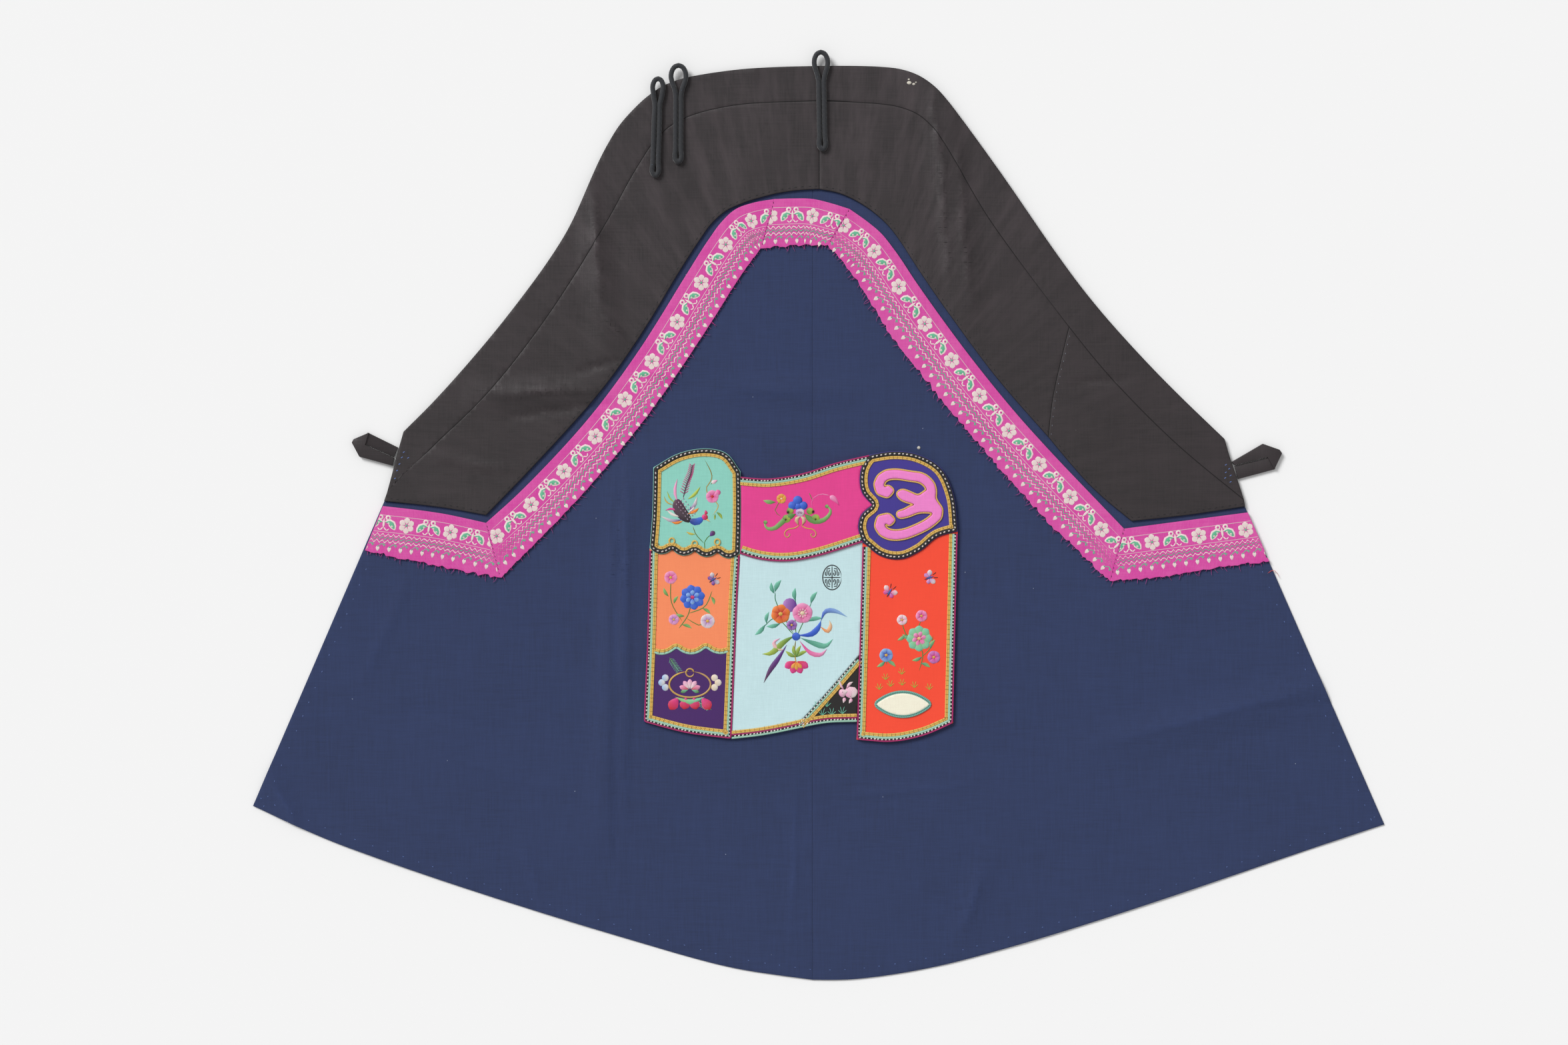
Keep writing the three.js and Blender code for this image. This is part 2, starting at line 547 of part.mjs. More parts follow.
// Pocket patches, side by side with seam gaps
function patches() {
  const lens = lensOutline(POCKET.lensLength, POCKET.lensHeight);
  const list = [
    ['pocket_teal', tealOutline(), LAYERS.topPatch, COLOURS.teal],
    ['pocket_indigo', indigoOutline(), LAYERS.topPatch, COLOURS.indigo],
    ['pocket_banner', bannerOutline(), LAYERS.topPatch, COLOURS.magenta],
    ['pocket_orange', orangeOutline(), LAYERS.patch, COLOURS.orange],
    ['pocket_purple', purpleOutline(), LAYERS.patch, COLOURS.purple],
    ['pocket_panel', panelOutline(), LAYERS.patch, COLOURS.paleBlue],
    ['pocket_corner', cornerOutline(), LAYERS.patch, COLOURS.corner],
    ['pocket_red', redOutline(), LAYERS.patch, COLOURS.red],
    ['pocket_lens', lens, LAYERS.lens, COLOURS.cream],
  ];
  const half = POCKET.cloudWidth / 2;
  const cloud = clothPiece(strip(CLOUD_LINE, -half, half), LAYERS.cloud);
  return [
    ...list.map(([name, points, layer, colour]) => meshOf(name, clothPiece(points, layer), colour)),
    meshOf('pocket_cloud', cloud, COLOURS.lilacPink),
  ];
}

function tealOutline() {
  return outline(TEAL_SIDES.left, TEAL_SIDES.arch, TEAL_SIDES.right, TEAL_SIDES.foot);
}

function indigoOutline() {
  return outline(INDIGO_CROWN, INDIGO_FOOT, INDIGO_LOWER_LOBE, INDIGO_UPPER_LOBE);
}

function bannerOutline() {
  const rightSide = backwards(joined(INDIGO_LOWER_LOBE, INDIGO_UPPER_LOBE));
  const leftSide = TEAL_SIDES.right.filter((point) => point.y < BANNER_TOP[0].y - 1);
  return outline(BANNER_TOP, rightSide, backwards(BANNER_FOOT), backwards(leftSide));
}

function orangeOutline() {
  const left = STRIP_LEFT.filter((point) => point.y > ORANGE_FOOT_FROM.y);
  const right = STRIP_RIGHT.filter((point) => point.y > ORANGE_FOOT_TO.y);
  return outline(TEAL_SIDES.foot, left, backwards(ORANGE_FOOT), backwards(right));
}

function purpleOutline() {
  const left = STRIP_LEFT.filter((point) => point.y < ORANGE_FOOT_FROM.y);
  const right = STRIP_RIGHT.filter((point) => point.y < ORANGE_FOOT_TO.y);
  return outline(ORANGE_FOOT, left, STRIP_FOOT, backwards(right));
}

function panelOutline() {
  const foot = PANEL_FOOT.filter((point) => point.x < CORNER_SLANT[0].x - 1);
  const right = RED_LEFT.filter((point) => point.y > CORNER_SLANT[CORNER_SLANT.length - 1].y);
  return outline(BANNER_FOOT, right, backwards(CORNER_SLANT), backwards(foot), backwards(STRIP_RIGHT));
}

function cornerOutline() {
  const foot = PANEL_FOOT.filter((point) => point.x > CORNER_SLANT[0].x + 1);
  const slantEnd = CORNER_SLANT[CORNER_SLANT.length - 1];
  const footEnd = PANEL_FOOT[PANEL_FOOT.length - 1];
  const right = RED_LEFT.filter((point) => point.y < slantEnd.y && point.y > footEnd.y);
  return outline(CORNER_SLANT, right, backwards(foot));
}

function redOutline() {
  return outline(backwards(INDIGO_FOOT), RED_RIGHT, backwards(RED_FOOT), backwards(RED_LEFT));
}

// Two equal arcs that meet in points, like a leaf
function lensOutline(length, height) {
  const points = [];
  for (let step = 0; step < 2 * POCKET.lensSteps; step += 1) {
    const turn = (step / POCKET.lensSteps) * Math.PI;
    const rise = Math.sin(turn) * Math.abs(Math.sin(turn)) ** POCKET.lensPoint;
    const x = POCKET.lensX + (length / 2) * Math.cos(turn);
    const y = POCKET.lensY + (height / 2) * rise;
    points.push(new THREE.Vector2(x, y));
  }
  return outline(points);
}

// Raised braid and couched gold round the patches
function edgings() {
  const near = POCKET.trimInset;
  const far = near + POCKET.trimWidth;
  const ring = (points, layer) => (
    clothPiece(points, layer, { margin: near, holes: [backwards(inset(points, far))] })
  );
  const stripSides = joined(STRIP_LEFT.slice(1), STRIP_FOOT, backwards(STRIP_RIGHT.slice(1)));
  const redSides = joined(RED_LEFT.slice(1), RED_FOOT, backwards(RED_RIGHT.slice(1)));
  const open = (line, layer, less = []) => clothPiece(strip(line, near, far), layer, { less });
  const trim = LAYERS.patchTrim;
  const sides = open(stripSides, trim);
  const slant = open(backwards(CORNER_SLANT), trim);
  const footBlock = block(strip(PANEL_FOOT, -far, far + GAP), BELOW, ABOVE);
  const sidesBlock = block(strip(stripSides, -far, far + GAP), BELOW, ABOVE);
  const redInside = block(inset(redOutline(), -GAP), BELOW, ABOVE);
  const stripInside = block(inset(purpleOutline(), -GAP), BELOW, ABOVE);
  const tealBlock = block(inset(tealOutline(), -GAP), BELOW, ABOVE);
  const indigoBlock = block(inset(indigoOutline(), -GAP), BELOW, ABOVE);
  const list = [
    ['edging_teal', ring(tealOutline(), LAYERS.topPatchTrim)],
    ['edging_indigo', ring(indigoOutline(), LAYERS.topPatchTrim)],
    ['edging_banner_top', open(backwards(BANNER_TOP), LAYERS.topPatchTrim, [tealBlock, indigoBlock])],
    ['edging_banner_foot', open(BANNER_FOOT, LAYERS.topPatchTrim, [tealBlock, indigoBlock])],
    ['edging_strip', sides.subtract(tealBlock)],
    ['edging_scallops', open(backwards(ORANGE_FOOT), trim, [sidesBlock])],
    ['edging_panel', open(PANEL_FOOT, trim, [redInside, stripInside])],
    ['edging_corner', slant.subtract(footBlock).subtract(redInside)],
    ['edging_red', open(redSides, trim, [indigoBlock])],
    ['edging_lens', lensRing()],
  ];
  return list.map(([name, solid]) => meshOf(name, solid, COLOURS.gold, ROUGHNESS.gold));
}

function lensRing() {
  const rim = 2 * POCKET.lensRim;
  const outer = lensOutline(POCKET.lensLength + rim, POCKET.lensHeight + rim);
  const inner = lensOutline(POCKET.lensLength + 2 * GAP, POCKET.lensHeight + 2 * GAP);
  return clothPiece(outer, LAYERS.patchTrim, { margin: 0, holes: [backwards(inner)] });
}

const group = new THREE.Group();
group.name = 'embroidered_apron';
group.add(...fronts(), ...yoke(), ...ribbon(), ...loops(), ...tabs(), ...patches(), ...edgings());

export default group;
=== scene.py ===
# Embroidered apron laid flat: cloth, ribbon, cords and the appliqued pocket, dressed round the CAD frame.
# Pieces are laid out in millimetres, as seen from above, and scaled to metres when they are finished.
import bisect
import functools
import math
import random

import bmesh
import bpy
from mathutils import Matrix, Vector, geometry, noise
from mathutils.bvhtree import BVHTree


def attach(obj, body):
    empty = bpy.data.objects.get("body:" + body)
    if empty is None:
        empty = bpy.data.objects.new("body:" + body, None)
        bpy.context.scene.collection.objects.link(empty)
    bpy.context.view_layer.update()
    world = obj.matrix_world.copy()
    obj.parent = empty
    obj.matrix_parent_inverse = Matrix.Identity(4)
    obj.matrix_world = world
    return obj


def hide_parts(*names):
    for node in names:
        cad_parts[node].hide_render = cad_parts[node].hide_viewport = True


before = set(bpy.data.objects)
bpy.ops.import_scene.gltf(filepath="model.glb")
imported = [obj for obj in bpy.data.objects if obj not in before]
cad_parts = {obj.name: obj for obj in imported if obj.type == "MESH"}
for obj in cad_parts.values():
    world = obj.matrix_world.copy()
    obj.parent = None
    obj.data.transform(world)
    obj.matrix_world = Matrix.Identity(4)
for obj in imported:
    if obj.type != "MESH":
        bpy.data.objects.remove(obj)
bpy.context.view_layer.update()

bl_info = {
    "name": "Embroidered Apron",
    "version": (1, 0, 0),
    "blender": (4, 5, 0),
    "location": "3D View > Sidebar > Apron",
    "description": "Builds the cloth, ribbon, cords and appliqued pocket of an embroidered apron",
    "category": "Add Mesh",
}

MM = 0.001
BODY = "root"
FRONTS = ("front_left", "front_right")
YOKES = ("yoke_left", "yoke_right_upper", "yoke_right_lower", "yoke_band")
RIBBONS = ("ribbon_left_side", "ribbon_left_slope", "ribbon_top", "ribbon_right_slope", "ribbon_right_side")

# Height of each layer's underside and face above the surface that the apron lies on
FRONT_FACE = 1.0
YOKE_FACE = 2.3
RIBBON_FACE = 2.2
PATCH_UNDER, PATCH_FACE = 1.3, 2.5
TOP_PATCH_FACE = 3.1
LAYER_GAP = 0.3

# Drop of the cloth's face at its folded edge and at two distances inside it
FOLDED_RIM = ((0.0, 0.6), (0.45, 0.18), (0.9, 0.0))
YOKE_RIM = ((0.0, 0.55), (0.45, 0.14), (0.85, 0.0))
PATCH_RIM = ((0.0, 0.75), (0.4, 0.25), (0.8, 0.0))
RAW_RIM = ((0.0, 0.3), (0.4, 0.05), (0.6, 0.0))

# Soft ridges left by folding: ends, height in the middle and reach to each side
FOLDS = (
    ((-97, 34), (-110, -176), 1.6, 13),
    ((300, -76), (130, -119), 1.3, 15),
    ((-62, 66), (40, 60), 0.7, 11),
    ((-285, -118), (-255, -172), 0.9, 12),
    ((88, -165), (68, -222), 0.8, 12),
    ((-119, 182), (-104, 70), 1.6, 12),
    ((-180, 60), (-98, 64), 1.1, 11),
    ((58, 220), (78, 92), 1.4, 14),
)
# Sharper creases: ends, height (negative for a trough), reach and how much paler the cloth is made there,
# partly wear and partly painted highlight along the crease
CREASES = (
    ((-114, 165), (-110, 102), 0.55, 3.2, 0.8),
    ((-110, 104), (-96, 86), 0.45, 2.8, 0.7),
    ((-168, 62), (-111, 63), 0.45, 2.6, 0.7),
    ((-124, 71), (-98, 79), -0.35, 2.4, 0.3),
    ((-160, 49), (-104, 56), -0.3, 3.0, 0.2),
    ((58, 214), (65, 117), 0.5, 2.2, 1.0),
    ((69, 189), (77, 104), 0.4, 2.4, 0.85),
    ((126, 67), (159, 68), -0.25, 3.0, 0.1),
    ((-196, 30), (-150, 22), 0.25, 3.5, 0.2),
    ((-101, 40), (-103, -178), -0.5, 2.4, 0.25),
    ((-97.5, 30), (-98, -160), 0.3, 3.0, 0.35),
    ((-43, 64), (-4, 62.5), 0.22, 3.0, 0.1),
    ((-92, 73), (-66, 68), 0.3, 3.0, 0.15),
    ((254, -86), (131, -118), 0.3, 3.0, 0.3),
    ((290, -92), (205, -101), -0.25, 3.5, 0.1),
    ((-278, -131), (-262, -158), 0.35, 3.4, 0.3),
    ((83, -178), (72, -210), 0.3, 3.0, 0.3),
    ((9, -141), (80, -136), 0.2, 3.6, 0.15),
    ((-183, -124), (-125, -141), 0.2, 3.8, 0.1),
    ((-212, -96), (-150, -112), -0.18, 4.5, 0.05),
    ((92, -38), (134, -62), 0.18, 4.0, 0.1),
    ((-13, -124), (-14, -226), 0.16, 3.0, 0.35),
    ((-205, -28), (-232, -88), 0.2, 4.5, 0.1),
    ((-150, -166), (-139, -198), 0.25, 3.5, 0.15),
    ((176, -150), (193, -184), -0.22, 4.0, 0.1),
)
CREASE_STRENGTH = 2.1
SWELL_HEIGHT = 0.35
SWELL_LENGTH = 62.0
RIPPLE_HEIGHT = 0.12
RIPPLE_LENGTH = 15.0


def linear(channel):
    """A 0 to 255 display value as linear light."""
    share = channel / 255
    return share / 12.92 if share <= 0.04045 else ((share + 0.055) / 1.055) ** 2.4


def rgb(red, green, blue):
    return tuple(linear(channel) for channel in (red, green, blue))


def colour_setting(label, note, red, green, blue):
    return bpy.props.FloatVectorProperty(
        name=label, description=note, default=rgb(red, green, blue), size=3, subtype="COLOR", min=0, max=1,
    )


def length_setting(label, note, millimetres):
    return bpy.props.FloatProperty(
        name=label, description=note, default=millimetres * MM, min=0, unit="LENGTH", precision=5,
    )


class ApronSizes(bpy.types.PropertyGroup):
    """Sizes that a user may change."""

    cotton_cell: length_setting("Cotton cell", "Spacing of the mesh on the fronts and the yoke", 2.5)
    patch_cell: length_setting("Patch cell", "Spacing of the mesh on the pocket patches", 1.3)
    ribbon_cell: length_setting("Ribbon cell", "Spacing of the mesh on the ribbon", 1.6)
    cotton_thread: length_setting("Cotton thread", "Spacing of the cotton's threads", 0.55)
    silk_thread: length_setting("Silk thread", "Spacing of the silk's threads", 0.3)
    brocade_height: length_setting("Brocade height", "How far the ribbon's pattern stands off it", 0.16)
    cord_width: length_setting("Cord width", "Diameter of the rolled cord loops", 2.5)
    fray_length: length_setting("Fray length", "Longest loose thread at the ribbon's raw edge", 2.6)


class ApronColours(bpy.types.PropertyGroup):
    """Colours that a user may change."""

    navy: colour_setting("Navy", "Cotton of the fronts", 36, 50, 88)
    glazed: colour_setting("Glazed black", "Beaten cotton of the yoke", 44, 38, 40)
    ribbon: colour_setting("Ribbon pink", "Ground of the woven ribbon", 214, 62, 160)
    ribbon_pale: colour_setting("Ribbon cream", "Flowers, berries and waves of the ribbon", 246, 226, 222)
    ribbon_green: colour_setting("Ribbon green", "Wings, sprigs and waves of the ribbon", 104, 190, 150)
    teal: colour_setting("Teal", "Silk of the arched patch", 138, 206, 190)
    orange: colour_setting("Orange", "Silk of the upper strip", 253, 138, 90)
    purple: colour_setting("Purple", "Silk of the lower strip", 64, 18, 97)
    magenta: colour_setting("Magenta", "Silk of the banner", 227, 56, 140)
    pale_blue: colour_setting("Pale blue", "Silk of the middle panel", 196, 225, 229)
    night: colour_setting("Black silk", "Silk of the corner", 20, 17, 16)
    indigo: colour_setting("Indigo", "Silk of the lobed patch", 58, 44, 140)
    red: colour_setting("Red", "Silk of the right strip", 254, 70, 40)
    lilac: colour_setting("Lilac pink", "Silk of the cloud", 236, 128, 200)
    cream: colour_setting("Cream", "Silk of the lens", 248, 238, 216)
    gold: colour_setting("Gold", "Couched thread", 236, 190, 98)
    mint: colour_setting("Mint", "Strip beside the gold", 160, 208, 186)
    cord: colour_setting("Cord", "Rolled loops", 27, 29, 34)


class StageSettings(bpy.types.PropertyGroup):
    """Camera and light that a user may change."""

    lens: bpy.props.FloatProperty(
        name="Lens", description="Focal length", default=70, unit="CAMERA", subtype="NONE",
    )
    height: length_setting("Camera height", "Height of the camera over the floor", 1539)
    lamp_power: bpy.props.FloatProperty(
        name="Lamp power", description="Strength of the soft lamp", default=2.5, min=0, subtype="FACTOR",
    )
    sky: bpy.props.FloatProperty(
        name="Sky", description="Strength of the light from all round", default=0.5, min=0, subtype="FACTOR",
    )


def sizes():
    return bpy.context.scene.apron_sizes


def colours():
    return bpy.context.scene.apron_colours


def shaded(colour, factor):
    """A colour made darker or lighter."""
    return tuple(min(1.0, channel * factor) for channel in colour)


def as_mm(length):
    return length / MM


# Lines and outlines

def smooth_line(points, step):
    """Points along a smooth line through a few points."""
    gaps = [(b - a).length for a, b in zip(points, points[1:])]
    slopes = [(b - a) / gap for a, b, gap in zip(points, points[1:], gaps)]
    tangents = [slopes[0]]
    for index in range(1, len(slopes)):
        before, after = gaps[index - 1], gaps[index]
        tangents.append((slopes[index - 1] * after + slopes[index] * before) / (before + after))
    tangents.append(slopes[-1])
    line = []
    for index, gap in enumerate(gaps):
        start, end = points[index], points[index + 1]
        leave, arrive = tangents[index] * gap, tangents[index + 1] * gap
        count = max(1, round(gap / step))
        for part in range(count):
            t = part / count
            line.append(
                start * (2 * t**3 - 3 * t**2 + 1) + leave * (t**3 - 2 * t**2 + t)
                + end * (3 * t**2 - 2 * t**3) + arrive * (t**3 - t**2)
            )
    line.append(points[-1])
    return line


def heading(angle):
    """A step of length one at an angle in degrees."""
    return Vector((math.cos(math.radians(angle)), math.sin(math.radians(angle))))


def oval_ring(x, y, half_width, half_height, count, start=0.0):
    """Points at even turns round an oval."""
    turns = (math.tau * part / count + start for part in range(count))
    return [Vector((x + half_width * math.cos(turn), y + half_height * math.sin(turn))) for turn in turns]


def turn_at(before, point, after):
    """The angle that a line turns through at a point."""
    into, out_of = point - before, after - point
    return abs(into.angle_signed(out_of, 0)) if into.length and out_of.length else 0


def copy_of(node):
    """A CAD node's mesh in millimetres, with its doubles merged."""
    bm = bmesh.new()
    bm.from_mesh(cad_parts[node].data)
    bmesh.ops.scale(bm, vec=(1 / MM,) * 3, verts=bm.verts)
    bmesh.ops.remove_doubles(bm, verts=bm.verts, dist=0.01)
    bm.normal_update()
    return bm


@functools.cache
def outline_of(node):
    """A CAD node's outline from above, anticlockwise, without points on straight stretches."""
    bm = copy_of(node)
    others = [face for face in bm.faces if face.normal.z < 0.5]
    bmesh.ops.delete(bm, geom=others, context="FACES")
    ring = widest_ring(bm)
    bm.free()
    return drop_straight(ring)


def widest_ring(bm):
    """The widest way round the open edges of a flat mesh."""
    rim = dict.fromkeys(edge for edge in bm.edges if edge.is_boundary)
    rings = []
    while rim:
        loop = rim.popitem()[0].link_loops[0]
        ring = [loop.vert, loop.link_loop_next.vert]
        following = [edge for edge in ring[-1].link_edges if edge in rim]
        while following:
            rim.pop(following[0])
            ring.append(following[0].other_vert(ring[-1]))
            following = [edge for edge in ring[-1].link_edges if edge in rim]
        rings.append([vert.co.xy for vert in ring[:-1]])
    return max(rings, key=area_of)


def merged(outlines):
    """The outline round several shapes that overlap."""
    spots, rings = [], []
    for outline in outlines:
        rings.append(list(range(len(spots), len(spots) + len(outline))))
        spots += outline
    found = geometry.delaunay_2d_cdt(spots, [], rings, 1, 0.001)
    mesh = bpy.data.meshes.new("merged")
    mesh.from_pydata([(*spot, 0) for spot in found[0]], [], found[2])
    bm = bmesh.new()
    bm.from_mesh(mesh)
    bpy.data.meshes.remove(mesh)
    ring = widest_ring(bm)
    bm.free()
    spaced = ring[:1]
    for spot in ring[1:]:
        if (spot - spaced[-1]).length > 0.55:
            spaced.append(spot)
    return relaxed(spaced, True)


def drop_straight(points, limit=math.radians(0.6)):
    count = len(points)
    return [
        point for index, point in enumerate(points)
        if turn_at(points[index - 1], point, points[(index + 1) % count]) > limit
    ]


CORNER_TURN = math.radians(26)


def corners_of(points):
    count = len(points)
    turns = [turn_at(points[index - 1], points[index], points[(index + 1) % count]) for index in range(count)]
    return [index for index, turn in enumerate(turns) if turn > CORNER_TURN]


SEAM_HALF = 0.13


def smooth_outline(node, step):
    """A CAD node's outline with its curves smoothed and its corners kept, grown to close the seams."""
    points = offset(outline_of(node), -SEAM_HALF, closed=True)
    corners = corners_of(points)
    if len(corners) < 2:
        start = corners[0] if corners else 0
        ring = points[start:] + points[:start + 1]
        return smooth_line(ring, step)[:-1]
    line = []
    for first, last in zip(corners, corners[1:] + [corners[0] + len(points)]):
        stretch = [points[index % len(points)] for index in range(first, last + 1)]
        line += smooth_line(stretch, step)[:-1]
    return line


def area_of(points):
    return abs(sum(before.cross(point) for before, point in zip(points[-1:] + points, points))) / 2


def length_of(points):
    return sum((b - a).length for a, b in zip(points, points[1:]))


def offset(points, distance, closed=False):
    """A line moved to its left, or a closed anticlockwise outline moved inwards."""
    count = len(points)
    moved = []
    for index, point in enumerate(points):
        before = points[index - 1] if closed or index else point
        after = points[(index + 1) % count] if closed or index < count - 1 else point
        ways = [way.normalized() for way in (point - before, after - point) if way.length > 1e-6]
        normals = [Vector((-way.y, way.x)) for way in ways]
        middle = sum(normals, Vector((0, 0))).normalized()
        moved.append(point + middle * distance / max(middle.dot(normals[0]), 0.4))
    return moved


def run(node, first, last, step=1.0):
    """The stretch of a node's outline, anticlockwise, between the corners nearest to two places."""
    points = outline_of(node)
    start, end = (
        min(range(len(points)), key=lambda index: (points[index] - Vector(place)).length)
        for place in (first, last)
    )
    if end <= start:
        end += len(points)
    stretch = [points[index % len(points)] for index in range(start, end + 1)]
    corners = [0] + [
        index for index in range(1, len(stretch) - 1)
        if turn_at(stretch[index - 1], stretch[index], stretch[index + 1]) > CORNER_TURN
    ] + [len(stretch) - 1]
    line = []
    for one, other in zip(corners, corners[1:]):
        line += smooth_line(stretch[one:other + 1], step)[:-1]
    return line + [stretch[-1]]


# Upper and lower corner of the ribbon at each end and at each mitre, from left to right
MITRES = (
    ((-219.6, 4.4), (-228.8, -18.1)), ((-167.7, -3.9), (-160.5, -31.8)), ((-22.4, 159.4), (-29.3, 134.5)),
    ((15.5, 154.4), (4.7, 136.2)), ((153.9, -6.8), (146.8, -33.2)), ((216.2, 1.2), (227.0, -23.1)),
)


class Rail:
    """The ribbon's upper edge as a ruler: places a distance along it and a distance down from it."""

    def __init__(self, node):
        start, end = MITRES[RIBBONS.index(node)], MITRES[RIBBONS.index(node) + 1]
        self.upper = run(node, end[0], start[0], 2.0)[::-1]
        self.lower = run(node, start[1], end[1], 2.0)
        self.line = self.upper[::2] + self.upper[-1:] * (len(self.upper) % 2 == 0)
        self.places = [0.0]
        for a, b in zip(self.line, self.line[1:]):
            self.places.append(self.places[-1] + (b - a).length)
        self.length = self.places[-1]
        self.across = [point.x for point in self.line]

    def point(self, along, down):
        index = min(max(bisect.bisect_left(self.places, along) - 1, 0), len(self.places) - 2)
        start, end = self.line[index], self.line[index + 1]
        way = (end - start).normalized()
        before = self.line[max(index - 1, 0)]
        after = self.line[min(index + 2, len(self.line) - 1)]
        part = (along - self.places[index]) / (self.places[index + 1] - self.places[index])
        turn_in = (end - before).normalized()
        turn_out = (after - start).normalized()
        share = min(max(part, 0), 1)
        smooth_way = (turn_in * (1 - share) + turn_out * share).normalized()
        return start + way * (along - self.places[index]) + Vector((smooth_way.y, -smooth_way.x)) * down

    def measure(self, place):
        """How far along the rail a place is, and how far down from it."""
        final = len(self.line) - 2
        first = min(max(bisect.bisect_left(self.across, place.x - 30) - 1, 0), final)
        last = min(bisect.bisect_left(self.across, place.x + 30), final)
        best = None
        for index in range(first, max(first, last) + 1):
            start = self.line[index]
            way = self.line[index + 1] - start
            part = (place - start).dot(way) / way.length_squared
            part = part if index == 0 and part < 0 or index == final and part > 1 else min(max(part, 0), 1)
            apart = (place - start - way * part).length
            if best is None or apart < best[0]:
                best = (apart, self.places[index] + way.length * part)
        return best[1], best[0]


# The laid surface

class Ridge:
    """A long soft rise between two places, which fades to nothing at its ends and sides."""

    def __init__(self, taper, start, end, height, reach, pale=0.0):
        self.start_x, self.start_y = start
        self.way_x, self.way_y = end[0] - start[0], end[1] - start[1]
        self.length = math.hypot(self.way_x, self.way_y)
        self.height, self.reach, self.taper, self.pale = height, reach, taper, pale
        self.left, self.right = min(start[0], end[0]) - reach, max(start[0], end[0]) + reach
        self.low, self.high = min(start[1], end[1]) - reach, max(start[1], end[1]) + reach

    def share(self, x, y):
        """How much of the height there is at a place, from 0 to 1."""
        if not (self.left < x < self.right and self.low < y < self.high):
            return 0
        x, y = x - self.start_x, y - self.start_y
        along = (x * self.way_x + y * self.way_y) / self.length**2
        across = abs(x * self.way_y - y * self.way_x) / self.length
        if not 0 < along < 1 or across >= self.reach:
            return 0
        return math.sin(math.pi * along) ** self.taper * math.cos(math.pi * across / (2 * self.reach)) ** 2


FOLD_TAPER, CREASE_TAPER = 0.8, 0.6
FOLD_RIDGES = [Ridge(FOLD_TAPER, *fold) for fold in FOLDS]
CREASE_RIDGES = [Ridge(CREASE_TAPER, *crease) for crease in CREASES]


STRAY_LENGTH, STRAY_WIDTH = 23, 1.6


def wandering(x, y):
    """How far a crease strays from its straight line."""
    return noise.noise(Vector((x / STRAY_LENGTH, y / STRAY_LENGTH, 3.0))) * STRAY_WIDTH


def surface(x, y):
    """How far the cloth rises at a place, with its folds, creases and soft swell."""
    height = sum(fold.height * fold.share(x, y) for fold in FOLD_RIDGES)
    stray = wandering(x, y)
    creased = sum(crease.height * crease.share(x + stray, y + stray) for crease in CREASE_RIDGES)
    height += CREASE_STRENGTH * creased
    height += SWELL_HEIGHT * noise.noise(Vector((x / SWELL_LENGTH, y / SWELL_LENGTH, 0.5)))
    height += RIPPLE_HEIGHT * noise.noise(Vector((x / RIPPLE_LENGTH, y / RIPPLE_LENGTH, 8.5)))
    return height


def wear(x, y):
    """How much paler the cloth is made along its creases: partly wear, partly painted highlight."""
    stray = wandering(x, y)
    return min(sum(crease.pale * crease.share(x + stray, y + stray) ** 3 for crease in CREASE_RIDGES), 1)


# Making pieces

ON_LINE = 0.02


def cut_lines(bm, faces, axis, cell, low=-9999, high=9999):
    """Cuts faces along the middle one of the lines that cross them, and then each half in the same way."""
    places = [vert.co[axis] for face in faces for vert in face.verts]
    first = max(low, math.floor((min(places) + ON_LINE) / cell) + 1)
    last = min(high, math.ceil((max(places) - ON_LINE) / cell) - 1)
    if first > last:
        return
    number = (first + last) // 2
    place = cell * number
    normal = Vector((axis == 0, axis == 1, 0))
    parts = dict.fromkeys(faces)
    for face in faces:
        parts.update(dict.fromkeys((*face.edges, *face.verts)))
    cut = {"plane_co": normal * place, "plane_no": normal}
    made = bmesh.ops.bisect_plane(bm, geom=list(parts), dist=ON_LINE, **cut)
    parts.update(dict.fromkeys(made["geom"]))
    halves = ([], [])
    for part in parts:
        if part.is_valid and isinstance(part, bmesh.types.BMFace):
            halves[part.calc_center_median()[axis] > place].append(part)
    for half, lines in zip(halves, ((first, number - 1), (number + 1, last))):
        if half:
            cut_lines(bm, half, axis, cell, *lines)


def gridded(bm, cell, roll):
    """Cuts a flat shape into cells along X and Y."""
    bmesh.ops.triangulate(bm, faces=[face for face in bm.faces if len(face.verts) > 4])
    for axis in (0, 1):
        cut_lines(bm, bm.faces[:], axis, cell)
    slanting = [
        edge for edge in bm.edges
        if len(edge.link_faces) == 2
        and min(abs(a - b) for a, b in zip(edge.verts[0].co.xy, edge.verts[1].co.xy)) > ON_LINE
        and all(vert[roll] == 0 for face in edge.link_faces for vert in face.verts)
    ]
    bmesh.ops.dissolve_edges(bm, edges=slanting, use_verts=False, use_face_split=False)


def laid_cloth(points, cell, rim, face, underside):
    """A closed wall of cloth over an outline: its face follows the laid surface and rolls down at the rim."""
    bm = bmesh.new()
    for layer in ("roll", "wear"):
        bm.verts.layers.float.new(layer)
    roll = bm.verts.layers.float["roll"]
    worn_and_highlit = bm.verts.layers.float["wear"]
    shape = bm.faces.new([bm.verts.new((point.x, point.y, 0)) for point in points])
    for vert in shape.verts:
        vert[roll] = rim[0][1]
    for (outer, _), (inner, drop) in zip(rim, rim[1:]):
        step = inner - outer
        bmesh.ops.inset_region(bm, faces=[shape], thickness=step, use_even_offset=True, use_boundary=True)
        for vert in shape.verts:
            vert[roll] = drop
    gridded(bm, cell, roll)
    bmesh.ops.solidify(bm, geom=bm.faces[:], thickness=1)
    for vert in bm.verts:
        x, y, side = vert.co
        level = surface(x, y)
        if side > -0.5:
            vert.co.z = face + level - vert[roll]
            # Paleness along the creases: partly wear, partly painted highlight
            vert[worn_and_highlit] = wear(x, y)
        else:
            vert.co.z = underside(x, y, level)
    return bm


def resting(x, y, level):
    return max(0.0, level)


def over_patch(x, y, level):
    return PATCH_UNDER + level


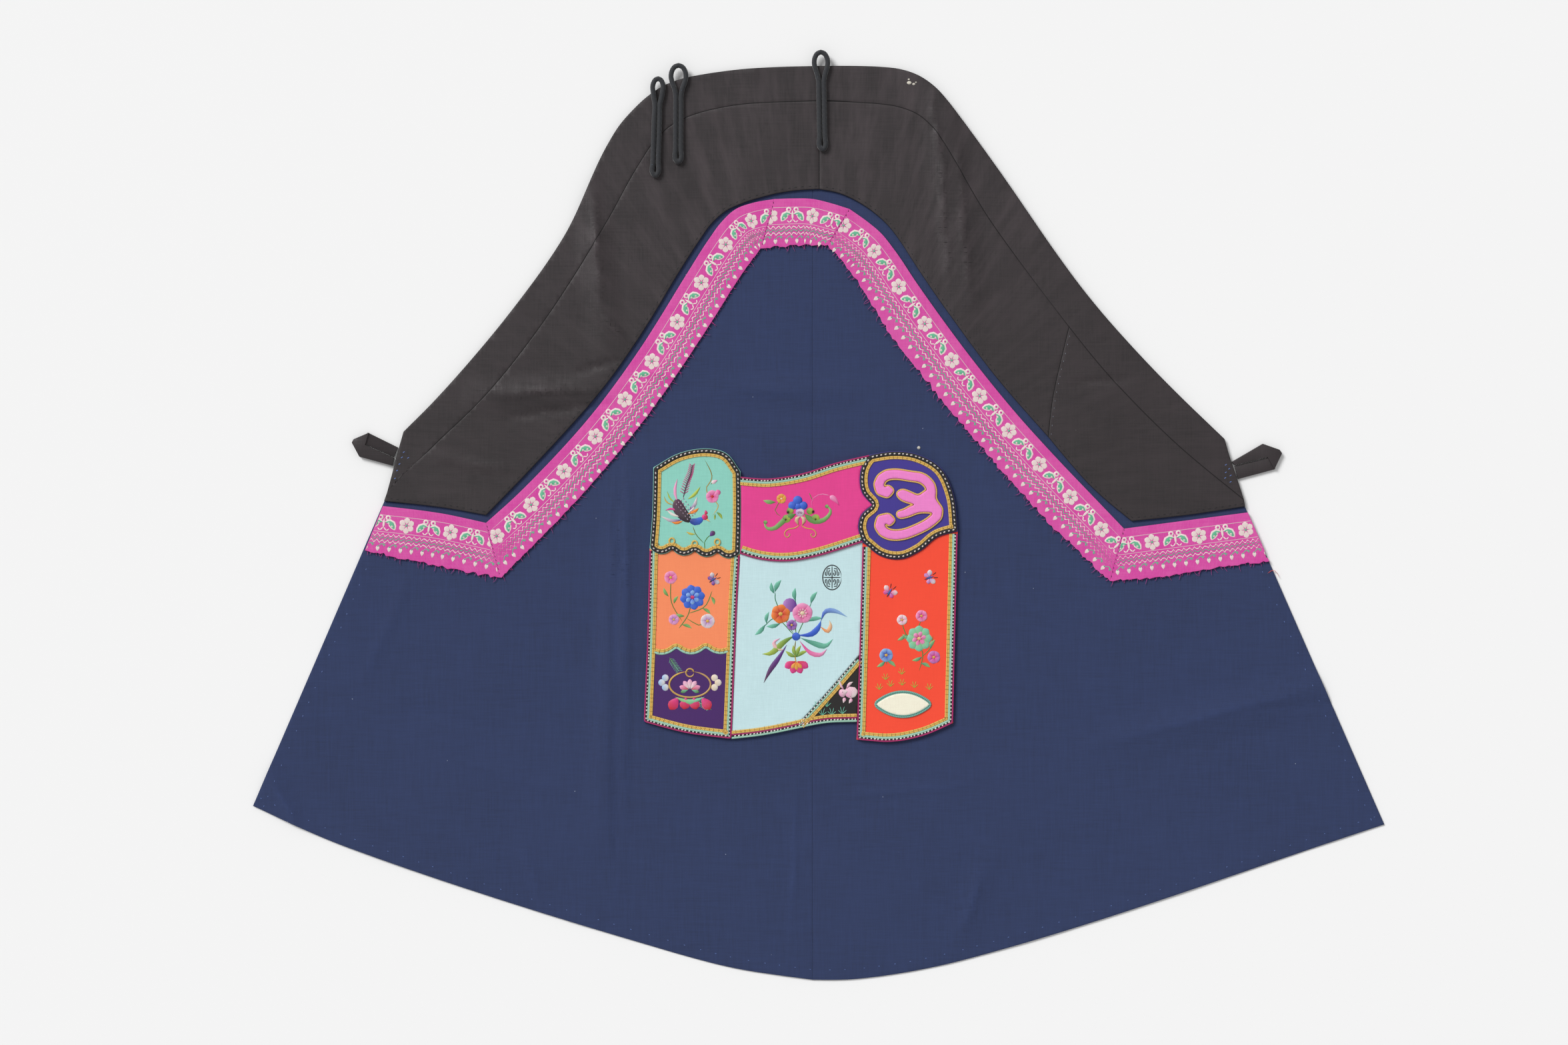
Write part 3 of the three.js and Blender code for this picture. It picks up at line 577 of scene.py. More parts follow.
@functools.cache
def front_tree():
    """The fronts' solids, to find where a yoke piece laps over them."""
    trees = []
    for node in FRONTS:
        bm = copy_of(node)
        trees.append(BVHTree.FromBMesh(bm))
        bm.free()
    return trees


def over_fronts(x, y, level):
    """The yoke's underside: it lies on the front where there is one, and on the table elsewhere."""
    for tree in front_tree():
        hit = tree.ray_cast(Vector((x, y, 50)), Vector((0, 0, -1)))[0]
        if hit:
            return FRONT_FACE + LAYER_GAP + level
    return max(0.0, level)


def placed(name, data):
    """An object in the scene that holds a mesh, a lamp or a camera."""
    thing = bpy.data.objects.new(name, data)
    bpy.context.scene.collection.objects.link(thing)
    return thing


def finish_piece(bm, name, material, replaced=()):
    """Scales a piece to metres, makes its object, hangs it from the body's empty and hides the CAD parts that
    it replaces.
    """
    bmesh.ops.scale(bm, vec=(MM,) * 3, verts=bm.verts)
    mesh = bpy.data.meshes.new(name)
    bm.to_mesh(mesh)
    bm.free()
    mesh.materials.append(material)
    mesh.set_sharp_from_angle(angle=math.radians(50))
    piece = placed(name, mesh)
    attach(piece, BODY)
    if replaced:
        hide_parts(*replaced)
    return piece


# Embroidery

PROFILES = {
    "round": lambda t: 2 * math.sqrt(max(t * (1 - t), 0)),
    "leaf": lambda t: math.sin(math.pi * t) ** 1.15,
    "petal": lambda t: math.sin(math.pi * t**1.5) ** 0.75 if 0 < t < 1 else 0,
    "drop": lambda t: math.sin(math.pi * t**0.62) ** 0.9 if 0 < t < 1 else 0,
    "stem": lambda t: min(1, 9 * t, 9 * (1 - t)),
    "tail": lambda t: min(1, 8 * t) * (1 - t) ** 0.6,
}


def spline_point(points, t):
    """A place on a smooth line through a few points, at a share of the way along it."""
    if len(points) == 2:
        return points[0].lerp(points[1], t)
    spans = len(points) - 1
    index = min(int(t * spans), spans - 1)
    part = t * spans - index
    start, end = points[index], points[index + 1]
    before = points[index - 1] if index else start * 2 - end
    after = points[index + 2] if index + 2 < len(points) else end * 2 - start
    return 0.5 * (
        start * 2 + (end - before) * part + (before * 2 - start * 5 + end * 4 - after) * part**2
        + (start * 3 - before - end * 3 + after) * part**3
    )


# Colours of the embroidery threads
THREAD_COLOURS = {
    "white": (238, 230, 224), "cream": (236, 214, 180), "tan": (190, 150, 100), "gold": (222, 178, 76),
    "orange": (246, 140, 48), "red": (206, 34, 44), "rose": (230, 66, 150),
    "pale_pink": (242, 164, 204), "lilac": (186, 128, 200), "violet": (98, 44, 148),
    "plum": (92, 50, 78), "navy": (26, 46, 128), "royal": (34, 74, 190), "blue": (62, 112, 222),
    "pale_blue": (150, 190, 232), "teal": (62, 140, 118), "mint": (126, 206, 178),
    "leaf": (84, 136, 58), "pale_green": (150, 200, 120), "lime": (182, 200, 78),
    "olive": (124, 120, 56), "black": (24, 22, 28),
}
THREADS = {name: rgb(*colour) for name, colour in THREAD_COLOURS.items()}


# Mesh of the smallest shapes, and how many points a mesh takes before another is started
COARSE = {"along": 4, "around": 6}
BATCH_SIZE = 1500


class Stitching:
    """Raised shapes gathered into one mesh, each with its own colours and thread direction."""

    def __init__(self, face, place=None, puff=1.0):
        self.face = face
        self.puff = puff
        self.place = place or (lambda x, y: Vector((x, y)))
        self.filled = []
        self.new_batch()

    def new_batch(self):
        """Starts another mesh, because adding to a small one is quick."""
        self.bm = bmesh.new()
        self.tint = self.bm.verts.layers.float_color.new("tint")
        self.threads = self.bm.loops.layers.uv.new("threads")
        self.filled.append(self.bm)

    def shape(self, spine, width, colour, tip=None, profile="leaf", height=0.4, along=7, around=8,
              crosswise=True):
        """A closed, domed shape along a spine. Its colour, named or mixed, runs from one end to the other."""
        if len(self.bm.verts) > BATCH_SIZE:
            self.new_batch()
        spine = [Vector(point) for point in spine]
        colour = THREADS.get(colour, colour)
        tip = THREADS.get(tip, tip) or colour
        made = bmesh.ops.create_uvsphere(self.bm, u_segments=around, v_segments=along, radius=1)["verts"]
        length = length_of(spine)
        where = {}
        for vert in made:
            t = (1 - vert.co.z) / 2
            girth = math.hypot(vert.co.x, vert.co.y)
            side, rise = (vert.co.x / girth, vert.co.y / girth) if girth > 1e-6 else (0, 0)
            middle = spline_point(spine, t)
            way = spline_point(spine, min(t + 0.02, 1)) - spline_point(spine, max(t - 0.02, 0))
            way.normalize()
            reach = side * PROFILES[profile](t) * width / 2
            spot = self.place(*(middle + Vector((-way.y, way.x)) * reach))
            crown = PROFILES["round"](t) ** 0.5
            level = self.puff * height * rise * crown if rise > 0 else 0.15 * rise
            vert.co = (spot.x, spot.y, surface(spot.x, spot.y) + self.face + level)
            vert[self.tint] = (*[a + (b - a) * t for a, b in zip(colour, tip)], 1)
            where[vert] = (t * length, reach) if crosswise else (reach, t * length)
        for face in {face for vert in made for face in vert.link_faces}:
            for loop in face.loops:
                loop[self.threads].uv = where[loop.vert]

    def disc(self, x, y, size, colour, tip=None, height=0.4, stretch=1.0, around=8, along=6):
        half = size * stretch / 2
        self.shape([(x - half, y), (x + half, y)], size, colour, tip, "round", height, along, around)

    def ray(self, x, y, angle, near, far, width, colour, tip=None, profile="petal", height=0.4, **more):
        """A shape that points away from a centre, at an angle in degrees."""
        way = heading(angle)
        centre = Vector((x, y))
        spine = [centre + way * near, centre + way * far]
        self.shape(spine, width, colour, tip, profile, height, **more)

    def rays(self, x, y, angles, *sizes, **more):
        """The same shape at several angles round a centre."""
        for angle in angles:
            self.ray(x, y, angle, *sizes, **more)

    def blossom(self, x, y, size, petals, colour, tip, heart, turn=90, height=0.45):
        wide = size * math.sin(math.pi / petals) * 1.05
        for petal in range(petals):
            angle = turn + 360 * petal / petals
            self.ray(x, y, angle, size * 0.06, size / 2, wide, colour, tip, "petal", height)
        self.disc(x, y, size * 0.24, heart, height=height * 1.25)

    def leaf(self, x, y, angle, length, width, colour, tip=None, bend=0.0, height=0.35):
        """A pointed leaf from its stalk, bent to one side."""
        way = heading(angle)
        start = Vector((x, y))
        side = Vector((-way.y, way.x))
        spine = [start, start + way * length / 2 + side * bend, start + way * length]
        self.shape(spine, width, colour, tip, "leaf", height)

    def stem(self, points, width, colour, tip=None, height=0.25, along=None, profile="stem"):
        steps = along or max(6, round(length_of([Vector(p) for p in points]) / 1.6))
        self.shape(points, width, colour, tip, profile, height, along=steps, around=6, crosswise=False)

    def finish(self, name, material, slot, replaced=()):
        for batch in self.filled:
            bmesh.ops.recalc_face_normals(batch, faces=batch.faces[:])
        return finish_piece(joined(self.filled), name, material, replaced)


def swept(points, width, height, level, closed=False, sides=3):
    """A mesh of a cord along a line on the laid surface, pressed to a height, with its UV in millimetres."""
    curve = bpy.data.curves.new("cord", "CURVE")
    curve.dimensions = "3D"
    curve.bevel_depth = width / 2
    curve.bevel_resolution = sides - 2
    curve.use_fill_caps = not closed
    spline = curve.splines.new("POLY")
    spline.points.add(len(points) - 1)
    spline.use_cyclic_u = closed
    for knot, point in zip(spline.points, points):
        knot.co = (point.x, point.y, 0, 1)
    holder = bpy.data.objects.new("cord", curve)
    mesh = bpy.data.meshes.new_from_object(holder)
    bm = bmesh.new()
    bm.from_mesh(mesh)
    bpy.data.objects.remove(holder)
    bpy.data.curves.remove(curve)
    bpy.data.meshes.remove(mesh)
    length = length_of(points)
    layer = bm.loops.layers.uv.verify()
    for face in bm.faces:
        for loop in face.loops:
            u, v = loop[layer].uv
            loop[layer].uv = (u * length, v * math.pi * width)
    for vert in bm.verts:
        x, y, z = vert.co
        vert.co.z = surface(x, y) + level + z * height / width
    bmesh.ops.remove_doubles(bm, verts=bm.verts, dist=0.001)
    return bm


def joined(parts):
    """Several meshes as one."""
    whole = bmesh.new()
    for part in parts:
        mesh = bpy.data.meshes.new("part")
        part.to_mesh(mesh)
        part.free()
        whole.from_mesh(mesh)
        bpy.data.meshes.remove(mesh)
    return whole


# Materials

class Tree:
    """Adds nodes to a node tree, with inputs set or linked in the same line."""

    def __init__(self, tree):
        self.tree = tree

    def add(self, kind, inputs=None, **settings):
        node = self.tree.nodes.new(kind)
        for key, value in settings.items():
            setattr(node, key, value)
        for key, value in (inputs or {}).items():
            self.fill(node.inputs[key], value)
        return node

    def group(self, tree, **inputs):
        """A node group with its inputs set or linked."""
        node = self.add("ShaderNodeGroup", node_tree=tree)
        for key, value in inputs.items():
            self.fill(node.inputs[key.title()], value)
        return node.outputs

    def fill(self, socket, value):
        """Links a socket to another, or sets its value."""
        if isinstance(value, bpy.types.NodeSocket):
            self.tree.links.new(value, socket)
        else:
            socket.default_value = value

    def math(self, operation, *values):
        return self.add("ShaderNodeMath", dict(enumerate(values)), operation=operation).outputs[0]

    def times(self, one, other):
        return self.math("MULTIPLY", one, other)

    def mix(self, share, one, other):
        """One colour into another. A plain colour is a tuple."""
        one, other = ((*colour, 1.0) if isinstance(colour, tuple) else colour for colour in (one, other))
        return self.add("ShaderNodeMix", {"Factor": share, 6: one, 7: other}, data_type="RGBA").outputs[2]

    def over(self, base, mask, share, colour):
        """A colour laid over another as far as a mask and a share say."""
        return self.mix(self.times(mask, share), base, colour)

    def range(self, value, low, high, start=0.0, end=1.0):
        """A value between a start and an end, as one between two levels."""
        limits = {"From Min": start, "From Max": end, "To Min": low, "To Max": high}
        return self.add("ShaderNodeMapRange", {"Value": value, **limits}).outputs[0]

    def noise(self, place, detail, roughness=0.5, scale=1.0):
        inputs = {"Vector": place, "Scale": scale, "Detail": detail, "Roughness": roughness}
        return self.add("ShaderNodeTexNoise", inputs).outputs[0]

    def stretched(self, place, stretch):
        return self.add("ShaderNodeVectorMath", {0: place, 1: stretch}, operation="MULTIPLY").outputs[0]

    def in_steps(self, place, size):
        """A place measured in steps of a size."""
        per_metre = self.math("DIVIDE", 1.0, size)
        return self.add("ShaderNodeVectorMath", {0: place, "Scale": per_metre}, operation="SCALE").outputs[0]


def new_group(name, inputs, outputs):
    """A shader node group: its tree, its inputs and its outputs. An input without a value is a vector."""
    tree = bpy.data.node_groups.new(name, "ShaderNodeTree")
    for label, value in inputs.items():
        kind = "NodeSocketVector" if value is None else "NodeSocketFloat"
        socket = tree.interface.new_socket(name=label, in_out="INPUT", socket_type=kind)
        if value is not None:
            socket.default_value = value
    for label in outputs:
        tree.interface.new_socket(name=label, in_out="OUTPUT", socket_type="NodeSocketFloat")
    nodes = Tree(tree)
    return nodes, nodes.add("NodeGroupInput").outputs, nodes.add("NodeGroupOutput").inputs


@functools.cache
def woven_group():
    """Threads over and under each other, with thick and thin ones."""
    nodes, given, out = new_group("Woven threads", {"Vector": None, "Thread": 0.0005}, ["Height", "Shade"])
    scaled = nodes.in_steps(given["Vector"], given["Thread"])
    axes = nodes.add("ShaderNodeSeparateXYZ", {0: scaled}).outputs
    warp = nodes.math("SINE", nodes.times(axes["X"], math.tau))
    weft = nodes.math("SINE", nodes.times(axes["Y"], math.tau))
    over = nodes.times(warp, weft)
    slubs = []
    for stretch in ((0.05, 0.9, 0.9), (0.9, 0.04, 0.9)):
        slubs.append(nodes.noise(nodes.stretched(scaled, stretch), 3.0))
    shade = nodes.times(nodes.math("ADD", *slubs), 0.5)
    height = nodes.math("ADD", nodes.times(over, 0.25), shade)
    nodes.fill(out["Height"], height)
    nodes.fill(out["Shade"], shade)
    return nodes.tree


@functools.cache
def mottle_group():
    """Uneven patches of a finish, with a crosshatch where the cloth was beaten or rubbed."""
    nodes, given, out = new_group("Rubbed patches", {"Vector": None, "Size": 0.02, "Hatch": 0.4}, ["Mask"])
    scaled = nodes.in_steps(given["Vector"], given["Size"])
    cloudy = nodes.noise(scaled, 5.0, 0.6)
    hatches = []
    for stretch in ((1.2, 22.0, 1.0), (22.0, 1.2, 1.0)):
        hatches.append(nodes.noise(nodes.stretched(scaled, stretch), 3.0))
    hatch = nodes.math("SUBTRACT", nodes.math("ADD", *hatches), 1.0)
    mask = nodes.math("ADD", cloudy, nodes.times(hatch, given["Hatch"]))
    nodes.fill(out["Mask"], nodes.range(mask, 0.0, 1.0, 0.32, 0.68))
    return nodes.tree


@functools.cache
def lint_group():
    """Pale specks of lint, sparse and small."""
    nodes, given, out = new_group("Lint specks", {"Vector": None, "Spacing": 0.004, "Speck": 0.05}, ["Mask"])
    per_metre = nodes.math("DIVIDE", 1.0, given["Spacing"])
    spots = nodes.add("ShaderNodeTexVoronoi", {"Vector": given["Vector"], "Scale": per_metre})
    close = nodes.math("LESS_THAN", spots.outputs["Distance"], given["Speck"])
    chance = nodes.add("ShaderNodeSeparateColor", {0: spots.outputs["Color"]}).outputs[0]
    chosen = nodes.math("GREATER_THAN", chance, 0.6)
    nodes.fill(out["Mask"], nodes.times(close, chosen))
    return nodes.tree


@functools.cache
def laid_group():
    """Threads that lie side by side along the first direction of a UV map."""
    inputs = {"Vector": None, "Thread": 0.25, "Twist": 0.0}
    nodes, given, out = new_group("Laid threads", inputs, ["Height", "Shade"])
    axes = nodes.add("ShaderNodeSeparateXYZ", {0: given["Vector"]}).outputs
    skewed = nodes.math("ADD", axes["X"], nodes.times(axes["Y"], given["Twist"]))
    phase = nodes.times(nodes.math("DIVIDE", skewed, given["Thread"]), math.tau)
    wave = nodes.range(nodes.math("SINE", phase), 0.0, 1.0)
    uneven = nodes.noise(nodes.stretched(given["Vector"], (3.2, 0.5, 1.0)), 2.0)
    nodes.fill(out["Height"], nodes.math("ADD", nodes.times(wave, 0.6), nodes.times(uneven, 0.4)))
    nodes.fill(out["Shade"], uneven)
    return nodes.tree


def new_material(name, **values):
    """A material's node tree, with the Principled shader's own values set."""
    material = bpy.data.materials.new(name)
    material.use_nodes = True
    nodes = Tree(material.node_tree)
    nodes.material = material
    nodes.shader = material.node_tree.nodes["Principled BSDF"]
    for key, value in values.items():
        nodes.shader.inputs[key.replace("_", " ").title().replace("Ior", "IOR")].default_value = value
    return nodes


def cloth_material(name, roughness, sheen, softness):
    return new_material(name, roughness=roughness, sheen_weight=sheen, sheen_roughness=softness)


def object_place(nodes):
    return nodes.add("ShaderNodeTexCoord").outputs["Object"]


def uv_place(nodes, name):
    return nodes.add("ShaderNodeUVMap", uv_map=name).outputs["UV"]


def attribute(nodes, name, kind="Fac"):
    return nodes.add("ShaderNodeAttribute", attribute_name=name).outputs[kind]


def finished(nodes, colour, height, bump, depth, roughness=None):
    """Links a colour, a bump and a roughness to the shader, and gives the material."""
    relief = nodes.add("ShaderNodeBump", {"Strength": bump, "Distance": depth * MM, "Height": height})
    nodes.fill(nodes.shader.inputs["Base Color"], colour)
    nodes.fill(nodes.shader.inputs["Normal"], relief.outputs[0])
    if roughness is not None:
        nodes.fill(nodes.shader.inputs["Roughness"], roughness)
    return nodes.material


def rim_shade(nodes, clear=0.1, dark=0.42):
    """Painted shade where the cloth rolls down into a seam or at its edge, between two depths in millimetres.
    """
    return nodes.range(attribute(nodes, "roll"), 0.0, 0.9, clear, dark)


@functools.cache
def navy_cotton():
    nodes = cloth_material("Navy cotton", 0.86, 0.12, 0.5)
    place = object_place(nodes)
    cloth = nodes.group(woven_group(), vector=place, thread=sizes().cotton_thread)
    rubbed = nodes.group(mottle_group(), vector=place, size=0.05, hatch=0.5)
    lint = nodes.group(lint_group(), vector=place, spacing=0.011, speck=0.022)
    navy = colours().navy
    thread = nodes.mix(cloth["Shade"], shaded(navy, 0.5), shaded(navy, 1.5))
    faded = nodes.over(thread, rubbed["Mask"], 0.35, shaded(navy, 1.22))
    # Paler along the creases: partly worn cloth, partly painted highlight
    worn_and_highlit = nodes.over(faded, attribute(nodes, "wear"), 0.5, shaded(navy, 2.2))
    specked = nodes.over(worn_and_highlit, lint["Mask"], 0.75, rgb(150, 160, 182))
    # Painted shade in the seams and at the rolled edges
    painted_seam_shade = nodes.over(specked, rim_shade(nodes), 0.9, shaded(navy, 0.3))
    return finished(nodes, painted_seam_shade, cloth["Height"], bump=0.45, depth=0.25)


def neck_rays(nodes, place):
    """Soft pale streaks that fan out from below the neck: partly rubbed glaze, partly painted highlight of
    its sheen.
    """
    axes = nodes.add("ShaderNodeSeparateXYZ", {0: place}).outputs
    turn = nodes.math("ARCTAN2", axes["X"], axes["Y"])
    away = nodes.add("ShaderNodeVectorMath", {0: place}, operation="LENGTH").outputs["Value"]
    spread = {0: nodes.times(turn, 26.0), 1: nodes.times(away, 24.0)}
    rays = nodes.noise(nodes.add("ShaderNodeCombineXYZ", spread).outputs[0], 4.0, 0.62)
    near = nodes.range(nodes.math("ABSOLUTE", turn), 1.0, 0.3, 0.3, 0.95)
    return nodes.times(nodes.range(rays, 0.0, 1.0, 0.44, 0.7), near)


@functools.cache
def glazed_cotton():
    nodes = new_material("Glazed black cotton", specular_ior_level=0.42)
    place = object_place(nodes)
    cloth = nodes.group(woven_group(), vector=place, thread=sizes().cotton_thread)
    rubbed = nodes.group(mottle_group(), vector=place, size=0.018, hatch=0.8)
    broad = nodes.group(mottle_group(), vector=place, size=0.09, hatch=0.3)
    lint = nodes.group(lint_group(), vector=place, spacing=0.012, speck=0.02)
    black = colours().glazed
    thread = nodes.mix(cloth["Shade"], shaded(black, 0.35), shaded(black, 1.6))
    rubbed_colour = nodes.over(thread, rubbed["Mask"], 0.7, shaded(black, 1.5))
    uneven = nodes.over(rubbed_colour, broad["Mask"], 0.45, shaded(black, 0.6))
    # Pale streaks from the neck: partly rubbed glaze, partly painted highlight
    rayed = nodes.over(uneven, neck_rays(nodes, place), 0.6, shaded(black, 2.5))
    # Paler along the creases: partly worn glaze, partly painted highlight
    worn_and_highlit = nodes.over(rayed, attribute(nodes, "wear"), 0.5, shaded(black, 2.6))
    specked = nodes.over(worn_and_highlit, lint["Mask"], 0.6, rgb(150, 146, 142))
    # Painted shade, near black, in the seams and at the rolled edges; the same mask also dulls the gloss
    # there
    rim = rim_shade(nodes, 0.02, 0.13)
    painted_seam_shade = nodes.mix(rim, specked, shaded(black, 0.08))
    gloss = nodes.math("MAXIMUM", nodes.range(rubbed["Mask"], 0.62, 0.42), rim)
    return finished(nodes, painted_seam_shade, cloth["Height"], bump=0.35, depth=0.22, roughness=gloss)


def silk(setting, rubbing):
    """Silk satin of one colour, with fine slubs."""
    colour = getattr(colours(), setting)
    nodes = cloth_material(f"{setting} silk", 0.62, 0.15, 0.4)
    place = object_place(nodes)
    cloth = nodes.group(woven_group(), vector=place, thread=sizes().silk_thread)
    rubbed = nodes.group(mottle_group(), vector=place, size=0.014, hatch=0.6)
    thread = nodes.mix(cloth["Shade"], shaded(colour, 0.84), shaded(colour, 1.16))
    worn_and_highlit = nodes.over(thread, rubbed["Mask"], rubbing, shaded(colour, 0.88))
    return finished(nodes, worn_and_highlit, cloth["Height"], bump=0.3, depth=0.12)


@functools.cache
def ribbon_cloth():
    nodes = cloth_material("Ribbon", 0.6, 0.2, 0.4)
    place = uv_place(nodes, "ribbon")
    ribs = nodes.group(laid_group(), vector=place, thread=0.42, twist=0.0)
    rubbed = nodes.group(mottle_group(), vector=object_place(nodes), size=0.012, hatch=0.6)
    pink = colours().ribbon
    # Darker between the ribs and lighter on them: painted shade and highlight, with some uneven tone
    thread = nodes.mix(ribs["Height"], shaded(pink, 0.8), shaded(pink, 1.15))
    worn_and_highlit = nodes.over(thread, rubbed["Mask"], 0.35, rgb(226, 110, 178))
    return finished(nodes, worn_and_highlit, ribs["Height"], bump=0.4, depth=0.18)


@functools.cache
def stitched_silk():
    """Embroidery and brocade: the colour comes from the shape's tint, the sheen from its threads, with
    painted shade in the grooves between the threads.
    """
    nodes = cloth_material("Stitched silk", 0.48, 0.2, 0.35)
    threads = nodes.group(laid_group(), vector=uv_place(nodes, "threads"), thread=0.34, twist=0.0)
    tint = attribute(nodes, "tint", "Color")
    # Painted shade: darker in the grooves between the laid threads
    lines = nodes.mix(nodes.range(threads["Height"], 0.2, 0.0), tint, (0.02, 0.02, 0.02))
    return finished(nodes, lines, threads["Height"], bump=0.55, depth=0.12)


@functools.cache
def gold_thread():
    nodes = new_material("Couched gold", roughness=0.45, metallic=0.15)
    twist = nodes.group(laid_group(), vector=uv_place(nodes, "UVMap"), thread=0.8, twist=0.9)
    gold = colours().gold
    # Painted shade in the grooves of the twist and painted highlight on its crowns
    wound = nodes.mix(twist["Height"], shaded(gold, 0.62), shaded(gold, 1.3))
    return finished(nodes, wound, twist["Height"], bump=0.6, depth=0.15)


def plain_cord(name, colour, thread):
    """A matt cord of one colour with a slanting roll."""
    nodes = cloth_material(name, 0.72, 0.25, 0.45)
    twist = nodes.group(laid_group(), vector=uv_place(nodes, "UVMap"), thread=thread, twist=0.35)
    # Painted shade in the grooves of the twist and painted highlight on its crowns
    wound = nodes.mix(twist["Height"], shaded(colour, 0.62), shaded(colour, 1.35))
    return finished(nodes, wound, twist["Height"], bump=0.5, depth=0.15)


@functools.cache
def rolled_cotton():
    nodes = cloth_material("Rolled cord", 0.75, 0.3, 0.5)
    roll = nodes.group(laid_group(), vector=uv_place(nodes, "UVMap"), thread=2.9, twist=0.75)
    fuzz = nodes.noise(object_place(nodes), 3.0, scale=2600.0)
    lint = nodes.group(lint_group(), vector=object_place(nodes), spacing=0.0022, speck=0.055)
    cord = colours().cord
    height = nodes.math("ADD", nodes.times(roll["Height"], 0.7), nodes.times(fuzz, 0.5))
    wound = nodes.mix(fuzz, shaded(cord, 0.5), shaded(cord, 1.7))
    specked = nodes.over(wound, lint["Mask"], 0.7, rgb(120, 140, 175))
    return finished(nodes, specked, height, bump=0.5, depth=0.35)


# Operators

class Maker(bpy.types.Operator):
    """Base of the operators that make pieces."""

    bl_options = {"REGISTER", "UNDO"}


PALE_STITCH = rgb(96, 122, 186)
DARK_STITCH = rgb(20, 19, 22)


def sewn_row(stitching, line, gap, colour, size, seed, slant=0.0):
    """Small stitches of one length, width and height, at nearly even gaps along a line."""
    chance = random.Random(seed)
    length, width, height = size
    travelled, target = 0.0, gap
    for start, end in zip(line, line[1:]):
        way = end - start
        if way.length < 1e-6:
            continue
        unit = way.normalized()
        while travelled + way.length >= target:
            middle = start + unit * (target - travelled)
            lean = unit * math.cos(slant) + Vector((-unit.y, unit.x)) * math.sin(slant)
            half = lean * length * chance.uniform(0.4, 0.6)
            stitching.shape([middle - half, middle + half], width, colour, profile="stem", height=height,
                            along=4, around=6, crosswise=False)
            target += gap * chance.uniform(0.85, 1.15)
        travelled += way.length


class APRON_OT_fronts(Maker):
    """Makes the two navy fronts and the small stitches along their edges"""

    bl_idname = "apron.fronts"
    bl_label = "Navy fronts"

    def execute(self, context):
        cell = as_mm(sizes().cotton_cell)
        for node in FRONTS:
            points = smooth_outline(node, cell)
            cloth = laid_cloth(points, cell, FOLDED_RIM, FRONT_FACE, resting)
            piece = finish_piece(cloth, f"{node}_cloth", navy_cotton(), [node])
        self.stitch_edges()
        return {"FINISHED"}

    def stitch_edges(self):
        """Tiny blue stitches that hold the hem and the sides."""
        sew = Stitching(FRONT_FACE)
        edges = (
            ("front_left", (-219, 7), (-3, -234.5), 21),
            ("front_right", (-3, -234.2), (215, 4), 22),
        )
        for node, first, last, seed in edges:
            line = run(node, first, last)
            sewn_row(sew, offset(line, 5.0), 8.5, PALE_STITCH, (0.7, 0.3, 0.1), seed)
        sew.disc(50.5, 34.0, 1.7, rgb(206, 202, 190), height=0.6)
        loose = [(226.4, -29.4), (229.0, -27.8), (231.2, -29.0), (232.2, -31.6)]
        sew.stem(loose, 0.4, rgb(238, 96, 92), profile="tail", height=0.4)
        sew.finish("hem_stitches", stitched_silk(), "navy_cotton")


class APRON_OT_yoke(Maker):
    """Makes the glazed yoke in four pieces, with its seams and stitches"""

    bl_idname = "apron.yoke"
    bl_label = "Glazed yoke"

    def execute(self, context):
        cell = as_mm(sizes().cotton_cell)
        for node in YOKES:
            points = smooth_outline(node, cell)
            cloth = laid_cloth(points, cell, YOKE_RIM, YOKE_FACE, over_fronts)
            piece = finish_piece(cloth, f"{node}_cloth", glazed_cotton(), [node])
        self.stitch_seams()
        return {"FINISHED"}

    def stitch_seams(self):
        """Black hem stitches along the yoke's foot and pale ones at the piecing seam."""
        sew = Stitching(YOKE_FACE)
        hems = (
            ("yoke_left", (-219, 7), (0, 164.4), 31),
            ("yoke_right_upper", (0.5, 164), (115.5, 39.6), 32),
            ("yoke_right_lower", (115.9, 39.4), (214.6, 4.6), 33),
        )
        for node, first, last, seed in hems:
            line = offset(run(node, first, last), 1.4)
            sewn_row(sew, line, 3.4, DARK_STITCH, (1.5, 0.4, 0.14), seed)
        seam = offset(run("yoke_right_lower", (126.2, 94.9), (115.7, 39.4)), 1.2)
        sewn_row(sew, seam, 4.2, rgb(110, 116, 128), (0.6, 0.3, 0.1), 34)
        tabs = (
            ((-209.1, 31.8), (-210.1, 29.1), (-206.9, 28.9), (-211.3, 25.8), (-212.5, 22.5), (-213.6, 18.5)),
            ((205.2, 25.4), (206.9, 23.4), (205.2, 21.6), (207.6, 20.0), (204.9, 18.8), (207.6, 16.8)),
        )
        for group in tabs:
            for x, y in group:
                sew.shape([(x - 0.5, y - 0.3), (x + 0.5, y + 0.3)], 0.4, PALE_STITCH, profile="stem",
                          height=0.16, **COARSE)
        for x, y, size in ((45.6, 218.0, 1.7), (47.9, 217.3, 1.1), (45.4, 219.7, 0.8), (49.0, 218.2, 0.7)):
            sew.disc(x, y, size, rgb(222, 216, 202), height=0.4, stretch=1.4)
        sew.finish("yoke_stitches", stitched_silk(), "glazed_black")


# The ribbon's woven pattern: where the first flower of each length is, and how far apart they are
RIBBON_REPEATS = (
    ("ribbon_left_side", 12.9, 23.1),
    ("ribbon_left_slope", -0.6, 23.25),
    ("ribbon_top", -2.5, 22.9),
    ("ribbon_right_slope", 2.1, 22.6),
    ("ribbon_right_side", 13, 23.8),
)
ROW = {"line": 4.3, "flower": 8.4, "second_line": 12.7, "waves": (14.3, 15.9, 17.5), "berry": 21.2}
BERRY_GAP = 5.8
WAVE_LENGTH, WAVE_HEIGHT = 2.7, 0.8


